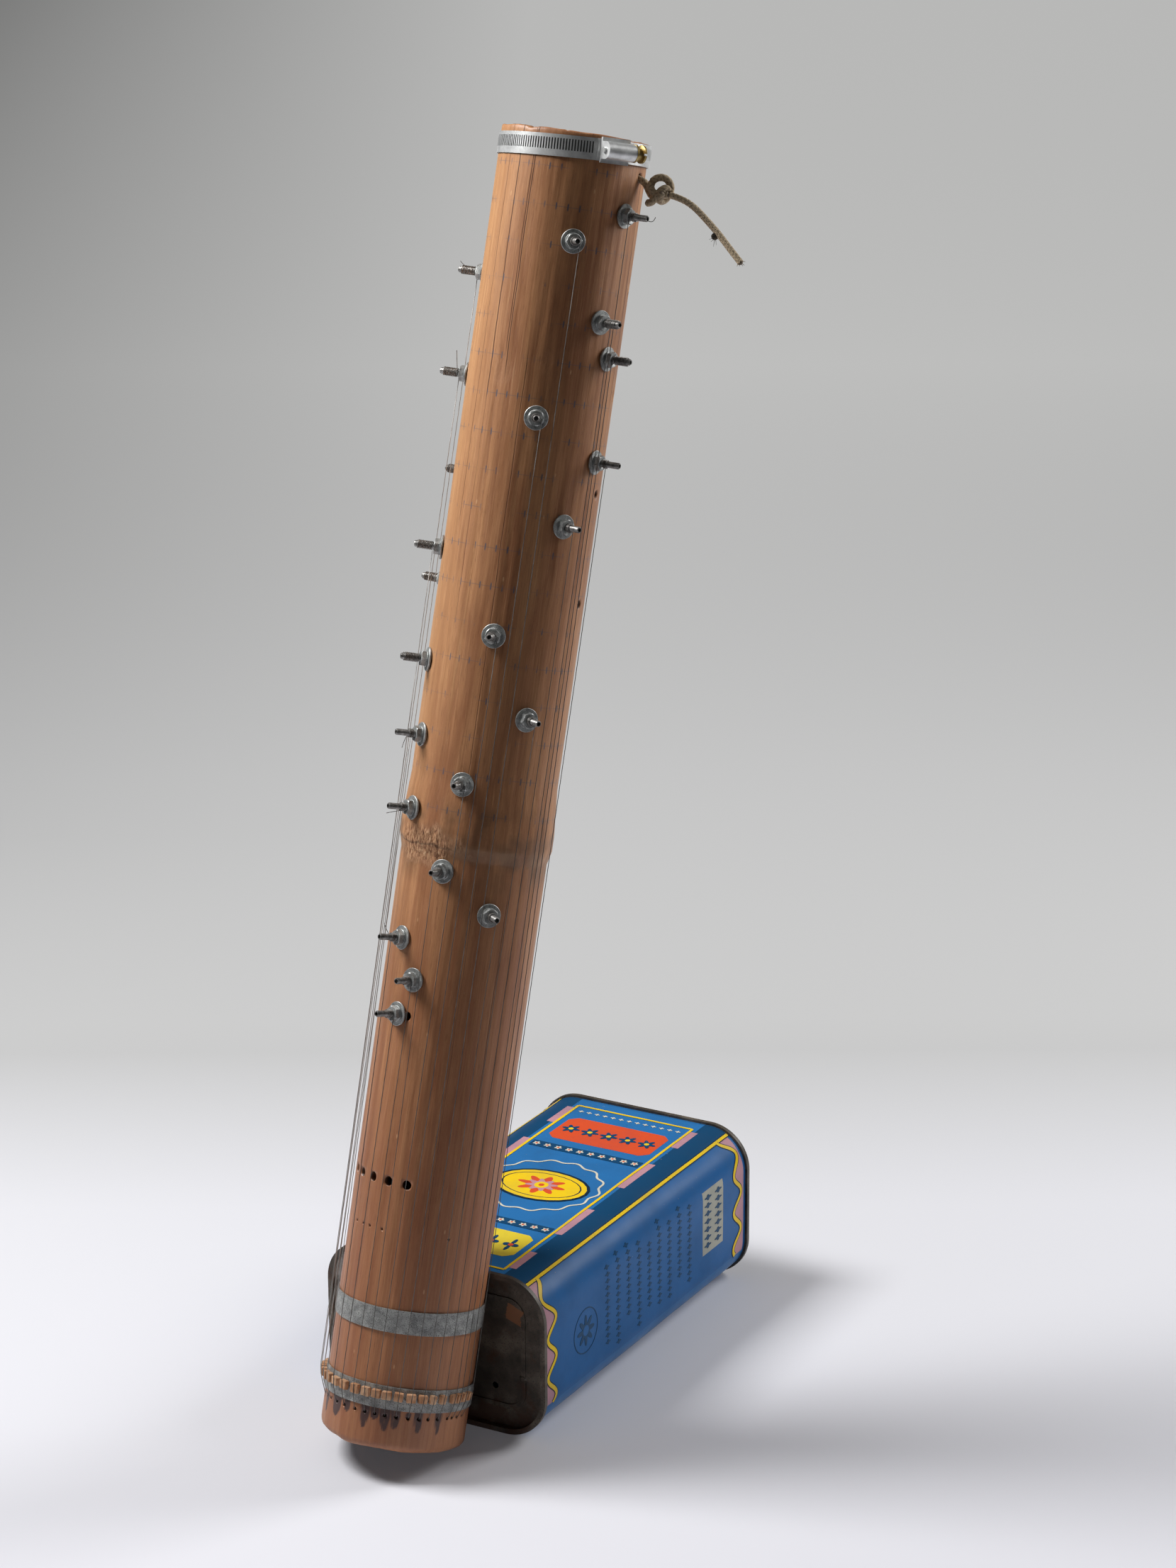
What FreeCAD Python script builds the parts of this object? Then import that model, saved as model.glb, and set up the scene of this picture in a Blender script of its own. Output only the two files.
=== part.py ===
import FreeCAD, Part
import math
import os
import Sketcher

# Bamboo tube zither: a bamboo tube that stands on the floor and leans back into a
# saddle cut in the end of a flat rectangular tin, which is its resonator and rear foot.
# Frame: +Z up, +Y along the tin away from the tube, +X to the right as the player sees
# the strings. The origin is on the floor, at the middle of the tin's near rim.

Vector = FreeCAD.Vector
Placement = FreeCAD.Placement
Rotation = FreeCAD.Rotation

os.makedirs("parts", exist_ok=True)
doc = FreeCAD.newDocument("TubeZither")
sheet = doc.addObject("Spreadsheet::Sheet", "Sizes")

# Driving dimensions: millimetres, and degrees where the name ends in angle or lean
SIZES = (
    ("tin_width", 154.0, "tin across its wide face, over the rims"),
    ("tin_thick", 105.0, "tin between its two wide faces, over the rims"),
    ("tin_length", 270.0, "tin over both rims"),
    ("tin_corner", 28.0, "outer corner radius of the rims"),
    ("tin_wall", 0.8, "sheet of the tin"),
    ("rim_length", 3.0, "seamed rim along the tin"),
    ("rim_proud", 1.5, "rim outside the body wall"),
    ("rim_inner", 1.4, "rim inside the body wall"),
    ("end_depth", 4.0, "end panel below its rim"),
    ("end_fit", 0.2, "end wall inside the body wall"),
    ("bead_inset", 13.0, "pressed bead inside the end wall"),
    ("bead_width", 3.0, "pressed bead across"),
    ("bead_height", 0.8, "pressed bead above the panel"),
    ("panel_hole", 2.1, "radius of the drilled hole in the end panel"),
    ("panel_hole_x", 39.8, "drilled hole right of the tin's middle"),
    ("panel_hole_z", 28.8, "drilled hole above the floor"),
    ("stud_radius", 2.6, "domed stud on the end panel"),
    ("stud_height", 1.2, "domed stud above the panel"),
    ("stud_x", 59.8, "domed stud right of the tin's middle"),
    ("stud_z", 37.9, "domed stud above the floor"),
    ("tube_length", 786.0, "bamboo tube from foot to top"),
    ("tube_radius", 43.8, "tube outside"),
    ("tube_wall", 6.8, "bamboo wall"),
    ("foot_round", 5.0, "worn outer edge of the foot"),
    ("edge_round", 1.2, "other edges of the tube's ends"),
    ("node_height", 357.0, "lower edge of the node's swelling"),
    ("node_proud", 2.0, "node's swelling outside the tube"),
    ("node_rise", 8.0, "steeper lower side of the swelling"),
    ("node_crest", 9.0, "crest of the swelling"),
    ("node_fade", 28.0, "long upper side of the swelling"),
    ("septum_thick", 5.0, "wall that closes the bore at the node"),
    ("septum_round", 6.0, "hollow between the septum and the bore"),
    ("back_lean", 15.2, "tube leaning back over the tin"),
    ("side_lean", 1.3, "tube leaning to the right"),
    ("foot_gap", 0.2, "lowest point of the worn foot above the floor"),
    ("saddle_depth", 18.9, "tube's back past the near rim, level with the tin's top"),
    ("saddle_fit", 0.4, "saddle's edge outside the upper strap"),
    ("strap_thick", 0.8, "galvanised straps"),
    ("strap_width", 13.8, "galvanised straps along the tube"),
    ("strap_fit", 0.1, "straps and clamp outside the tube"),
    ("lower_strap_height", 33.2, "middle of the lower strap above the foot"),
    ("upper_strap_height", 81.2, "middle of the upper strap above the foot"),
    ("upper_strap_tilt", 2.5, "upper strap lower in front by this angle"),
    ("nail_radius", 0.9, "strap nail shank"),
    ("nail_head", 2.1, "strap nail head radius"),
    ("nail_dome", 0.8, "strap nail head height"),
    ("nail_length", 6.0, "strap nail shank below its head"),
    ("nail_angle", 128.0, "strap nails, either side of the front line"),
    ("tab_thick", 1.6, "folded sheet tab behind the tube, bent in from the saddle"),
    ("tab_low", 50.0, "tab's lower edge along the tube"),
    ("tab_high", 70.0, "tab's upper edge along the tube"),
    ("tab_half_angle", 16.0, "tab either side of the tube's back line"),
    ("tab_fit", 0.2, "tab outside the tube"),
    ("tin_screw_radius", 1.7, "screws that hold the tab to the tube"),
    ("tin_screw_fit", 0.1, "clearance round those screws"),
    ("tin_screw_head", 3.6, "radius of their heads"),
    ("tin_screw_dome", 1.8, "height of their heads"),
    ("tin_screw_tip", 3.0, "screw end past the tab"),
    ("tin_screw_height", 60.0, "screws above the foot, along the tube"),
    ("tin_screw_angle", 9.0, "screws either side of the back line"),
    ("pin_radius", 2.2, "tuning pin"),
    ("pin_reach", 17.0, "pin end outside the tube"),
    ("pin_inside", 6.0, "pin end inside the bore"),
    ("pin_chamfer", 0.6, "pin ends"),
    ("pin_tip", 1.9, "pin radius past its wound wire"),
    ("pin_eye", 1.1, "radius of the hollow in the pin's end"),
    ("pin_eye_depth", 3.0, "depth of that hollow"),
    ("pin_fit", 0.05, "running clearance round a pin"),
    ("washer_radius", 7.2, "round washer"),
    ("washer_thick", 1.2, "round washer"),
    ("nut_flats", 8.4, "hexagon nut across its flats"),
    ("nut_thick", 4.0, "hexagon nut"),
    ("nut_collar", 4.9, "radius of the collar under the nut"),
    ("nut_collar_thick", 0.7, "collar under the nut"),
    ("wrap_gap", 0.3, "first turn of wire above the nut"),
    ("wrap_radius", 2.75, "outside of the wire wound on a pin"),
    ("short_wrap", 3.2, "wound length where few turns are left"),
    ("long_wrap", 9.5, "wound length where the pin is wound full"),
    ("wire_radius", 0.24, "string wire"),
    ("wire_clear", 0.3, "string end beside the wound wire"),
    ("anchor_height", 22.2, "string holes above the foot"),
    ("anchor_radius", 1.1, "string hole"),
    ("knot_radius", 1.6, "wire knot inside the tube"),
    ("knot_length", 2.4, "wire knot inside the tube"),
    ("block_width", 5.8, "wooden bridge block across its string"),
    ("narrow_block_width", 4.0, "narrow block at the left and right ends"),
    ("block_length", 6.0, "bridge block along its string"),
    ("block_height", 3.7, "bridge block above the strap"),
    ("block_slope", 0.9, "lower edge of a block below its upper edge"),
    ("block_offset", 1.8, "middle of a block above the strap's middle"),
    ("five_hole_radius", 2.9, "row of larger holes"),
    ("five_hole_height", 161.2, "row of larger holes above the foot"),
    ("side_hole_radius", 2.6, "single larger holes"),
    ("nail_hole_radius", 0.8, "old nail holes"),
    ("nail_hole_depth", 3.0, "old nail holes"),
    ("nail_hole_height", 132.0, "row of old nail holes above the foot"),
    ("cord_hole_radius", 3.0, "hole for the hanging cord"),
    ("cord_hole_drop", 20.6, "cord hole below the tube's top"),
    ("cord_angle", 96.0, "cord hole, right of the front line"),
    ("cord_radius", 1.9, "hanging cord"),
    ("cord_loop", 5.0, "radius of the outer knot's loop, at the middle of the cord"),
    ("cord_loop_reach", 57.0, "middle of that loop from the tube's axis"),
    ("cord_loop_drop", 3.0, "middle of that loop below the cord hole"),
    ("cord_turn", 3.9, "radius of the turn that closes the knot round the cord"),
    ("cord_stop", 4.6, "radius of the knot inside the tube"),
    ("cord_stop_fit", 0.2, "inner knot off the bore wall"),
    ("cord_tie", 2.2, "radius of the small lump tied to the cord"),
    ("clamp_drop", 2.9, "middle of the clamp's upper edge below the tube's top"),
    ("clamp_tilt_angle", 2.3, "clamp tilted on the tube"),
    ("clamp_rise_angle", 121.0, "where the tilted clamp is highest, right of the front"),
    ("clamp_width", 12.7, "clamp band along the tube"),
    ("clamp_thick", 0.7, "clamp band"),
    ("clamp_angle", 60.0, "middle of the clamp housing, right of the front"),
    ("tail_start_angle", 46.0, "start of the overlapping tail"),
    ("tail_end_angle", 128.0, "end of the overlapping tail"),
    ("slot_pitch_angle", 2.2, "step from one pressed slot to the next"),
    ("slot_width", 0.8, "pressed slot across"),
    ("slot_length", 6.6, "pressed slot along the tube"),
    ("slot_depth", 0.35, "pressed slot in the band"),
    ("slot_rise", 0.9, "slots above the band's middle"),
    ("slot_start_angle", -72.0, "first pressed slot"),
    ("housing_length", 19.0, "clamp housing along its screw"),
    ("housing_radius", 5.1, "outside of the housing over the screw"),
    ("housing_wall", 0.7, "housing sheet"),
    ("housing_base", 7.4, "half width of the housing's base"),
    ("housing_seat", 0.1, "housing above the band's tail"),
    ("worm_radius", 4.25, "threaded part of the clamp screw"),
    ("worm_fit", 0.1, "clearance round the clamp screw"),
    ("journal_radius", 1.6, "screw's journal in the housing's end plate"),
    ("journal_reach", 1.4, "journal outside the end plate"),
    ("head_neck", 3.4, "waist of the screw's head"),
    ("head_radius", 5.3, "flange of the screw's head"),
    ("head_flange", 1.2, "thickness of that flange"),
    ("head_length", 6.4, "screw's head outside the housing"),
    ("head_slot", 1.3, "slot in the screw's head"),
    ("head_slot_depth", 1.5, "depth of that slot"),
    ("overrun", 2.0, "cutting tools past the faces that they cut"),
)
for row, (alias, value, meaning) in enumerate(SIZES, start=1):
    sheet.set(f"A{row}", alias)
    sheet.set(f"B{row}", str(value))
    sheet.set(f"C{row}", meaning)
    sheet.setAlias(f"B{row}", alias)
doc.recompute()

# Strings from left to right, one entry for each: the pin's angle and the string hole's
# angle round the tube, from the front line; the pin's height as a share of the tube's
# length; the side on which the string leaves its pin; and whether the pin is wound full.
PIN_ANGLES = (-98.0, -89.0, -80.5, -71.5, -62.0, -48.5, -38.0, -31.0, -24.3, -17.5, -6.3, 6.0,
              12.3, 20.1, 28.8, 37.7, 46.5, 54.5, 62.8, 70.4, 80.5, 84.0, 88.0)
ANCHOR_ANGLES = (-96.0, -87.3, -78.6, -69.5, -60.5, -51.5, -42.6, -35.3, -25.5, -15.9, -4.8, 4.4,
                 12.8, 20.9, 29.8, 39.2, 48.0, 55.9, 64.3, 74.5, 80.0, 86.5, 94.0)
PIN_HEIGHT_SHARES = (0.739, 0.656, 0.889, 0.812, 0.681, 0.597, 0.541, 0.486, 0.388, 0.331, 0.359,
                     0.444, 0.511, 0.624, 0.788, 0.920, 0.416, 0.565, 0.711, 0.864, 0.944, 0.838,
                     0.761)
STRING_SIDES = (-1, -1, -1, -1, -1, -1, -1, -1, -1, 1, 1, -1, 1, 1, 1, 1, 1, 1, 1, 1, -1, -1, 1)
WOUND_FULL = (1, 1, 1, 1, 1, 1, 0, 0, 0, 0, 0, 0, 0, 0, 0, 0, 0, 0, 0, 1, 0, 1, 0)
STRINGS = range(len(PIN_ANGLES))
LEFT = range(0, 8)
FRONT = range(8, 17)
RIGHT = range(17, 23)
FIVE_HOLE_ANGLES = (-47.2, -34.8, -19.4, -3.5, 12.6)
NAIL_HOLE_ANGLES = (-32.7, -23.7, -15.5, -3.1, 51.5)
# Single larger holes: angle from the front line, height as a share of the tube's length
SIDE_HOLE_SHARES = ((99.4, 0.737), (96.7, 0.654), (-7.3, 0.331))


def size(name):
    """The value of one driving dimension."""
    return float(sheet.get(name))


def worth(expression):
    """The value of an expression in the driving dimensions."""
    return float(sheet.evalExpression(expression))


def bind(thing, **expressions):
    """Bind properties of an object to expressions in the driving dimensions."""
    for prop, expression in expressions.items():
        thing.setExpression(prop, expression)
    return thing


S = "Sizes."


def seat_at(height):
    """Reach of the highest place under a washer: the node's swelling lifts some of them."""
    rise = size("node_height") + size("node_rise")
    crest = rise + size("node_crest")
    fade = crest + size("node_fade")
    low = height - size("washer_radius")
    high = height + size("washer_radius")
    swelling = 0.0
    if high > size("node_height") and low < fade:
        swelling = size("node_proud") * min(1.0, (fade - low) / size("node_fade"))
    return size("tube_radius") + swelling


def bore():
    """Inside radius of the tube."""
    return size("tube_radius") - size("tube_wall")


def lean_placement():
    """The tube's own frame: Z along its axis from the foot, -Y to its front."""
    lean = math.radians(size("back_lean"))
    side = math.radians(size("side_lean"))
    turn = Rotation(Vector(0, 1, 0), size("side_lean")) * Rotation(Vector(1, 0, 0), -size("back_lean"))
    upright = math.cos(lean) * math.cos(side)
    slope = math.sqrt(1 - upright ** 2)
    worn = size("foot_round")
    rise = size("foot_gap") + (size("tube_radius") - worn) * slope + worn * (1 - upright)
    level = size("tin_thick") - rise
    back = size("saddle_depth") - size("rim_length") / 2
    shift = back - size("tube_radius") / math.cos(lean) - level * math.tan(lean)
    return Placement(Vector(0, shift, rise), turn)


LEAN = lean_placement()


def radial(angle, height, reach=0.0):
    """Placement in the tube's frame with Z pointing out of the tube at an angle from the
    front line, X along the tube's right-hand turn and the origin at a reach from the axis."""
    turn = Rotation(Vector(0, 0, 1), angle) * Rotation(Vector(1, 0, 0), 90)
    out = turn.multVec(Vector(0, 0, 1))
    return Placement(Vector(0, 0, height) + out * reach, turn)


def cylinder(name, radius, height, placement=None):
    """A cylinder bound to expressions for its radius and height."""
    made = bind(doc.addObject("Part::Cylinder", name), Radius=radius, Height=height)
    if placement:
        made.Placement = placement
    return made


def block(name, length, width, height, placement=None):
    """A box bound to expressions for its sides."""
    made = bind(doc.addObject("Part::Box", name), Length=length, Width=width, Height=height)
    if placement:
        made.Placement = placement
    return made


def cut(name, base, tool):
    made = doc.addObject("Part::Cut", name)
    made.Base = base
    made.Tool = tool
    return made


def fuse(name, *shapes):
    made = doc.addObject("Part::MultiFuse", name)
    made.Shapes = list(shapes)
    return made


def common(name, base, tool):
    made = doc.addObject("Part::Common", name)
    made.Base = base
    made.Tool = tool
    return made


def group(name, solids):
    """Separate solids that share one object, in their own frame."""
    made = doc.addObject("Part::Feature", name)
    made.Shape = Part.makeCompound(solids)
    return made


def outline(body, plane, points):
    """A closed sketch on one of a body's planes. Each corner is a pair of expressions, and
    zero keeps the corner on that axis. The corners are held by bound distances."""
    sketch = body.newObject("Sketcher::SketchObject", body.Name + "Outline")
    origin = next(item for item in body.Origin.OriginFeatures if item.Role == plane)
    sketch.AttachmentSupport = (origin, "")
    sketch.MapMode = "FlatFace"
    places = [Vector(worth(x) if x else 0, worth(y) if y else 0, 0) for x, y in points]
    count = len(places)
    for index in range(count):
        sketch.addGeometry(Part.LineSegment(places[index], places[(index + 1) % count]))
    for index in range(count):
        sketch.addConstraint(Sketcher.Constraint("Coincident", index, 2, (index + 1) % count, 1))
    for index, (x, y) in enumerate(points):
        for kind, axis, expression, value in (("DistanceX", -2, x, places[index].x),
                                              ("DistanceY", -1, y, places[index].y)):
            if not expression:
                sketch.addConstraint(Sketcher.Constraint("PointOnObject", index, 1, axis))
                continue
            number = sketch.addConstraint(Sketcher.Constraint(kind, -1, 1, index, 1, value))
            sketch.renameConstraint(number, f"{kind}{index}")
            sketch.setExpression(f"Constraints.{kind}{index}", expression)
    return sketch


def turned(name, points):
    """A body turned about Z from corners given as radius and height."""
    body = doc.addObject("PartDesign::Body", name)
    sketch = outline(body, "XZ_Plane", points)
    turning = body.newObject("PartDesign::Revolution", name + "Turning")
    turning.Profile = sketch
    turning.ReferenceAxis = (sketch, ["V_Axis"])
    turning.Angle = 360
    doc.recompute()
    return body


def rounded(body, edges, radius):
    """Round some edges of a body's last feature."""
    base = body.Tip
    made = body.newObject("PartDesign::Fillet", base.Name + "Round")
    made.Base = (base, edges)
    bind(made, Radius=radius)
    doc.recompute()
    return made


def edge_names(shape, wanted):
    """Names of the edges for which a test holds."""
    return [f"Edge{index}" for index, edge in enumerate(shape.Edges, start=1) if wanted(edge)]


def tin_prism(name, inset, start, length):
    """A rounded rectangular prism along the tin: its faces lie inside the rim's outline by
    an inset, and it starts at a distance from the rim's outer face."""
    body = doc.addObject("PartDesign::Body", name)
    prism = body.newObject("PartDesign::AdditiveBox", name + "Prism")
    bind(prism, Length=f"{S}tin_width - 2 * ({inset})", Width=length,
         Height=f"{S}tin_thick - 2 * ({inset})")
    doc.recompute()
    along = edge_names(prism.Shape, lambda edge: abs(edge.tangentAt(edge.FirstParameter).y) > 0.9)
    rounded(body, along, f"{S}tin_corner - ({inset})")
    bind(body, **{"Placement.Base.x": f"-{S}tin_width / 2 + ({inset})",
                  "Placement.Base.y": f"({start}) - {S}rim_length / 2",
                  "Placement.Base.z": inset})
    return body


NODES = []


def finish(thing, label, placement=None):
    """Give a finished sub-part its label and place."""
    thing.Label = label
    if placement:
        thing.Placement = placement
    NODES.append(thing)
    return thing


def make_tube():
    """Turned bamboo tube with the node's swelling and septum, drilled for pins, strings,
    cord and screws."""
    rise = f"{S}node_height + {S}node_rise"
    crest = f"{rise} + {S}node_crest"
    fade = f"{crest} + {S}node_fade"
    high = f"{rise} + {S}septum_thick"
    below = f"{rise} - {S}septum_round"
    above = f"{high} + {S}septum_round"
    proud = f"{S}tube_radius + {S}node_proud"
    inside = f"{S}tube_radius - {S}tube_wall"
    hollow = f"{inside} - {S}septum_round"
    outer = [(f"{S}tube_radius", ""), (f"{S}tube_radius", f"{S}node_height"), (proud, rise), (proud, crest),
             (f"{S}tube_radius", fade), (f"{S}tube_radius", f"{S}tube_length")]
    upper_bore = [(inside, f"{S}tube_length"), (inside, above), (hollow, high), ("", high)]
    lower_bore = [("", rise), (hollow, rise), (inside, below), (inside, "")]
    body = turned("TubeTurned", outer + upper_bore + lower_bore)
    shape = body.Shape

    def ring(edge, radius, height):
        centre = getattr(edge.Curve, "Center", None)
        near = 1e-4
        return centre is not None and abs(edge.Curve.Radius - radius) < near and abs(centre.z - height) < near

    foot = edge_names(shape, lambda edge: ring(edge, size("tube_radius"), 0))
    rounded(body, foot, f"{S}foot_round")
    ends = ((bore(), 0), (size("tube_radius"), size("tube_length")), (bore(), size("tube_length")))
    edges = edge_names(body.Shape, lambda edge: any(ring(edge, *end) for end in ends))
    rounded(body, edges, f"{S}edge_round")

    def drill(angle, height, radius, depth=None):
        far = size("tube_radius") + size("node_proud") + size("overrun")
        through = bore() - size("pin_inside") - size("overrun")
        near = through if depth is None else size("tube_radius") - depth
        place = radial(angle, height, near)
        return Part.makeCylinder(radius, far - near, place.Base, place.Rotation.multVec(Vector(0, 0, 1)))

    length = size("tube_length")
    pins = [drill(PIN_ANGLES[i], PIN_HEIGHT_SHARES[i] * length, size("pin_radius") + size("pin_fit"))
            for i in STRINGS]
    anchors = [drill(angle, size("anchor_height"), size("anchor_radius")) for angle in ANCHOR_ANGLES]
    rows = [drill(angle, size("five_hole_height"), size("five_hole_radius")) for angle in FIVE_HOLE_ANGLES]
    singles = [drill(angle, share * length, size("side_hole_radius")) for angle, share in SIDE_HOLE_SHARES]
    old = [drill(angle, size("nail_hole_height"), size("nail_hole_radius"), size("nail_hole_depth"))
           for angle in NAIL_HOLE_ANGLES]
    cord = [drill(size("cord_angle"), length - size("cord_hole_drop"), size("cord_hole_radius"))]
    screws = [drill(180 + side * size("tin_screw_angle"), size("tin_screw_height"),
                    size("tin_screw_radius") + size("tin_screw_fit")) for side in (-1, 1)]
    nails = [drill(side * size("nail_angle"), height, size("nail_radius"),
                   size("nail_length") - size("strap_thick") - size("strap_fit"))
             for side in (-1, 1) for height in (size("lower_strap_height"), size("upper_strap_height"))]
    drills = group("TubeDrills", pins + anchors + rows + singles + old + cord + screws + nails)
    finish(cut("TubeDrilled", body, drills), "bamboo_tube", LEAN)


def band(name, radius, thick, width, height, turn=Rotation()):
    """A closed strip round the tube: a ring with the tube's own axis, cut to its width by a
    slab that may be tilted."""
    reach = f"({width}) * 2"
    low = f"({height}) - ({width})"
    outer = cylinder(name + "Outer", f"{radius} + {thick}", reach)
    inner = cylinder(name + "Inner", radius, reach)
    bind(outer, **{"Placement.Base.z": low})
    bind(inner, **{"Placement.Base.z": low})
    ring = cut(name + "Ring", outer, inner)
    side = f"4 * ({radius})"
    slab = block(name + "Slab", side, side, width)
    doc.recompute()
    corner = turn.multVec(Vector(-worth(side) / 2, -worth(side) / 2, -worth(width) / 2))
    slab.Placement = Placement(corner + Vector(0, 0, worth(height)), turn)
    return common(name, ring, slab)


def make_straps():
    """Two galvanised straps, each held by two nails behind the strings."""
    radius = f"{S}tube_radius + {S}strap_fit"
    lower = band("LowerStrap", radius, f"{S}strap_thick", f"{S}strap_width", f"{S}lower_strap_height")
    upper = band("UpperStrap", radius, f"{S}strap_thick", f"{S}strap_width", f"{S}upper_strap_height",
                 Rotation(Vector(1, 0, 0), size("upper_strap_tilt")))
    shank = size("nail_radius")
    seat = size("tube_radius") + size("strap_fit") + size("strap_thick")
    holes = []
    nails = []
    for height in (size("lower_strap_height"), size("upper_strap_height")):
        for side in (-1, 1):
            place = radial(side * size("nail_angle"), height, seat)
            out = place.Rotation.multVec(Vector(0, 0, 1))
            start = place.Base - out * size("nail_length")
            holes.append(Part.makeCylinder(shank, size("nail_length") + size("overrun"), start, out))
            body = Part.makeCylinder(shank, size("nail_length"), start, out)
            dome = Part.makeCone(size("nail_head"), shank, size("nail_dome"), place.Base, out)
            nails.append(body.fuse(dome).removeSplitter())
    tool = group("StrapHoles", holes)
    finish(cut("LowerStrapDrilled", lower, tool), "lower_strap", LEAN)
    finish(cut("UpperStrapDrilled", upper, tool), "upper_strap", LEAN)
    finish(group("StrapNails", nails), "strap_nails", LEAN)


def make_pins():
    """Tuning pins with their wound wire, on round washers and collared hexagon nuts."""
    wall_depth = f"{S}tube_wall + {S}pin_inside"
    stack = f"{S}washer_thick + {S}nut_thick"
    neck_end = f"{stack} + {S}wrap_gap"
    profile = [("", f"-({wall_depth})"),
               (f"{S}pin_radius - {S}pin_chamfer", f"-({wall_depth})"),
               (f"{S}pin_radius", f"-({wall_depth}) + {S}pin_chamfer")]
    tip = [(f"{S}pin_tip - {S}pin_chamfer", f"{S}pin_reach"),
           (f"{S}pin_eye", f"{S}pin_reach"),
           (f"{S}pin_eye", f"{S}pin_reach - {S}pin_eye_depth"),
           ("", f"{S}pin_reach - {S}pin_eye_depth")]
    pins = {}
    wraps = {}
    for kind, length in ((0, f"{S}short_wrap"), (1, f"{S}long_wrap")):
        step = f"{neck_end} + {length}"
        pins[kind] = turned(f"PinTurned{kind}", profile + [
            (f"{S}pin_radius", step), (f"{S}pin_tip", step),
            (f"{S}pin_tip", f"{S}pin_reach - {S}pin_chamfer")] + tip)
        wraps[kind] = turned(f"PinWrap{kind}", [(f"{S}pin_radius + {S}pin_fit / 2", neck_end),
                                                (f"{S}wrap_radius", neck_end),
                                                (f"{S}wrap_radius", f"{neck_end} + {length}"),
                                                (f"{S}pin_radius + {S}pin_fit / 2", f"{neck_end} + {length}")])
    washer = turned("WasherTurned", [(f"{S}pin_radius + {S}pin_fit", ""), (f"{S}washer_radius", ""),
                                     (f"{S}washer_radius", f"{S}washer_thick"),
                                     (f"{S}pin_radius + {S}pin_fit", f"{S}washer_thick")])
    hexagon = doc.addObject("Part::Prism", "NutHexagon")
    hexagon.Polygon = 6
    bind(hexagon, Circumradius=f"{S}nut_flats / sqrt(3)", Height=f"{S}nut_thick")
    collar = cylinder("NutCollar", f"{S}nut_collar", f"{S}nut_collar_thick")
    hole = cylinder("NutHole", f"{S}pin_radius + {S}pin_fit", f"{S}nut_thick")
    nut = cut("NutCut", fuse("NutFused", hexagon, collar), hole)
    bind(nut, **{"Placement.Base.z": f"{S}washer_thick"})
    doc.recompute()
    washers = []
    nuts = []
    for index in STRINGS:
        height = PIN_HEIGHT_SHARES[index] * size("tube_length")
        place = radial(PIN_ANGLES[index], height, seat_at(height))
        node = group(f"TuningPin{index + 1:02d}", [made[WOUND_FULL[index]].Shape.copy() for made in (pins, wraps)])
        finish(node, f"tuning_pin_{index + 1:02d}", LEAN * place)
        for master, made in ((washer, washers), (nut, nuts)):
            solid = master.Shape.copy()
            solid.Placement = place * solid.Placement
            made.append(solid)
    finish(group("PinWashers", washers), "pin_washers", LEAN)
    finish(group("PinNuts", nuts), "pin_nuts", LEAN)


def wedge(width):
    """A bridge block: width across the string, length along it, its lower edge cut down."""
    half = width / 2
    long = size("block_length")
    tall = size("block_height")
    low = tall - size("block_slope")
    corners = [Vector(-half, -long / 2, 0), Vector(-half, long / 2, 0), Vector(-half, long / 2, tall),
               Vector(-half, -long / 2, low)]
    face = Part.Face(Part.makePolygon(corners + corners[:1]))
    return face.extrude(Vector(width, 0, 0))


def make_bridges():
    """One wooden block under each string, standing on the lower strap."""
    seat = size("tube_radius") + size("strap_fit") + size("strap_thick")
    height = size("lower_strap_height") + size("block_offset")
    for label, indices, width in (("bridges_left", LEFT, size("narrow_block_width")),
                                  ("bridges_front", FRONT, size("block_width")),
                                  ("bridges_right", RIGHT, size("narrow_block_width"))):
        blocks = []
        for index in indices:
            solid = wedge(width)
            solid.Placement = radial(ANCHOR_ANGLES[index], height, seat)
            blocks.append(solid)
        finish(group(label.title().replace("_", ""), blocks), label, LEAN)


def tube_point(angle, reach, height):
    """A point in the tube's frame."""
    return radial(angle, height, reach).Base


def string_solid(index):
    """A string from its knot inside the tube, out of its hole, over its block and up to
    the side of its pin: a hexagonal wire with mitred corners and a thicker knot."""
    seat = size("tube_radius") + size("strap_fit") + size("strap_thick")
    lift = size("wire_radius") * 1.2
    middle = size("lower_strap_height") + size("block_offset")
    anchor = ANCHOR_ANGLES[index]
    low = seat + size("block_height") - size("block_slope") + lift
    high = seat + size("block_height") + lift
    height = PIN_HEIGHT_SHARES[index] * size("tube_length")
    place = radial(PIN_ANGLES[index], height, seat_at(height))
    aside = size("wrap_radius") + size("wire_radius") + size("wire_clear")
    above = size("washer_thick") + size("nut_thick") + size("wrap_gap") + size("wire_radius") * 2
    inner = bore() - size("knot_length") * 1.05
    points = [tube_point(anchor, inner, size("anchor_height")),
              tube_point(anchor, size("tube_radius") + size("wire_radius") * 2, size("anchor_height")),
              tube_point(anchor, low, middle - size("block_length") / 2),
              tube_point(anchor, high, middle + size("block_length") / 2),
              place.multVec(Vector(STRING_SIDES[index] * aside, 0, above))]
    path = Part.makePolygon(points)
    start = points[1] - points[0]
    corners = []
    across = Placement(points[0], Rotation(Vector(0, 0, 1), start))
    for step in range(7):
        turn = math.radians(60 * step)
        spot = Vector(math.cos(turn), math.sin(turn), 0) * size("wire_radius")
        corners.append(across.multVec(spot))
    section = Part.makePolygon(corners)
    wire = Part.Wire(path.Edges).makePipeShell([section], True, False, 1)
    knot_face = Part.makePolygon([across.multVec(Vector(math.cos(math.radians(60 * step)),
                                                        math.sin(math.radians(60 * step)), 0)
                                                 * size("knot_radius")) for step in range(7)])
    knot = Part.Face(knot_face).extrude(start.normalize() * size("knot_length"))
    return wire.fuse(knot)


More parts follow.
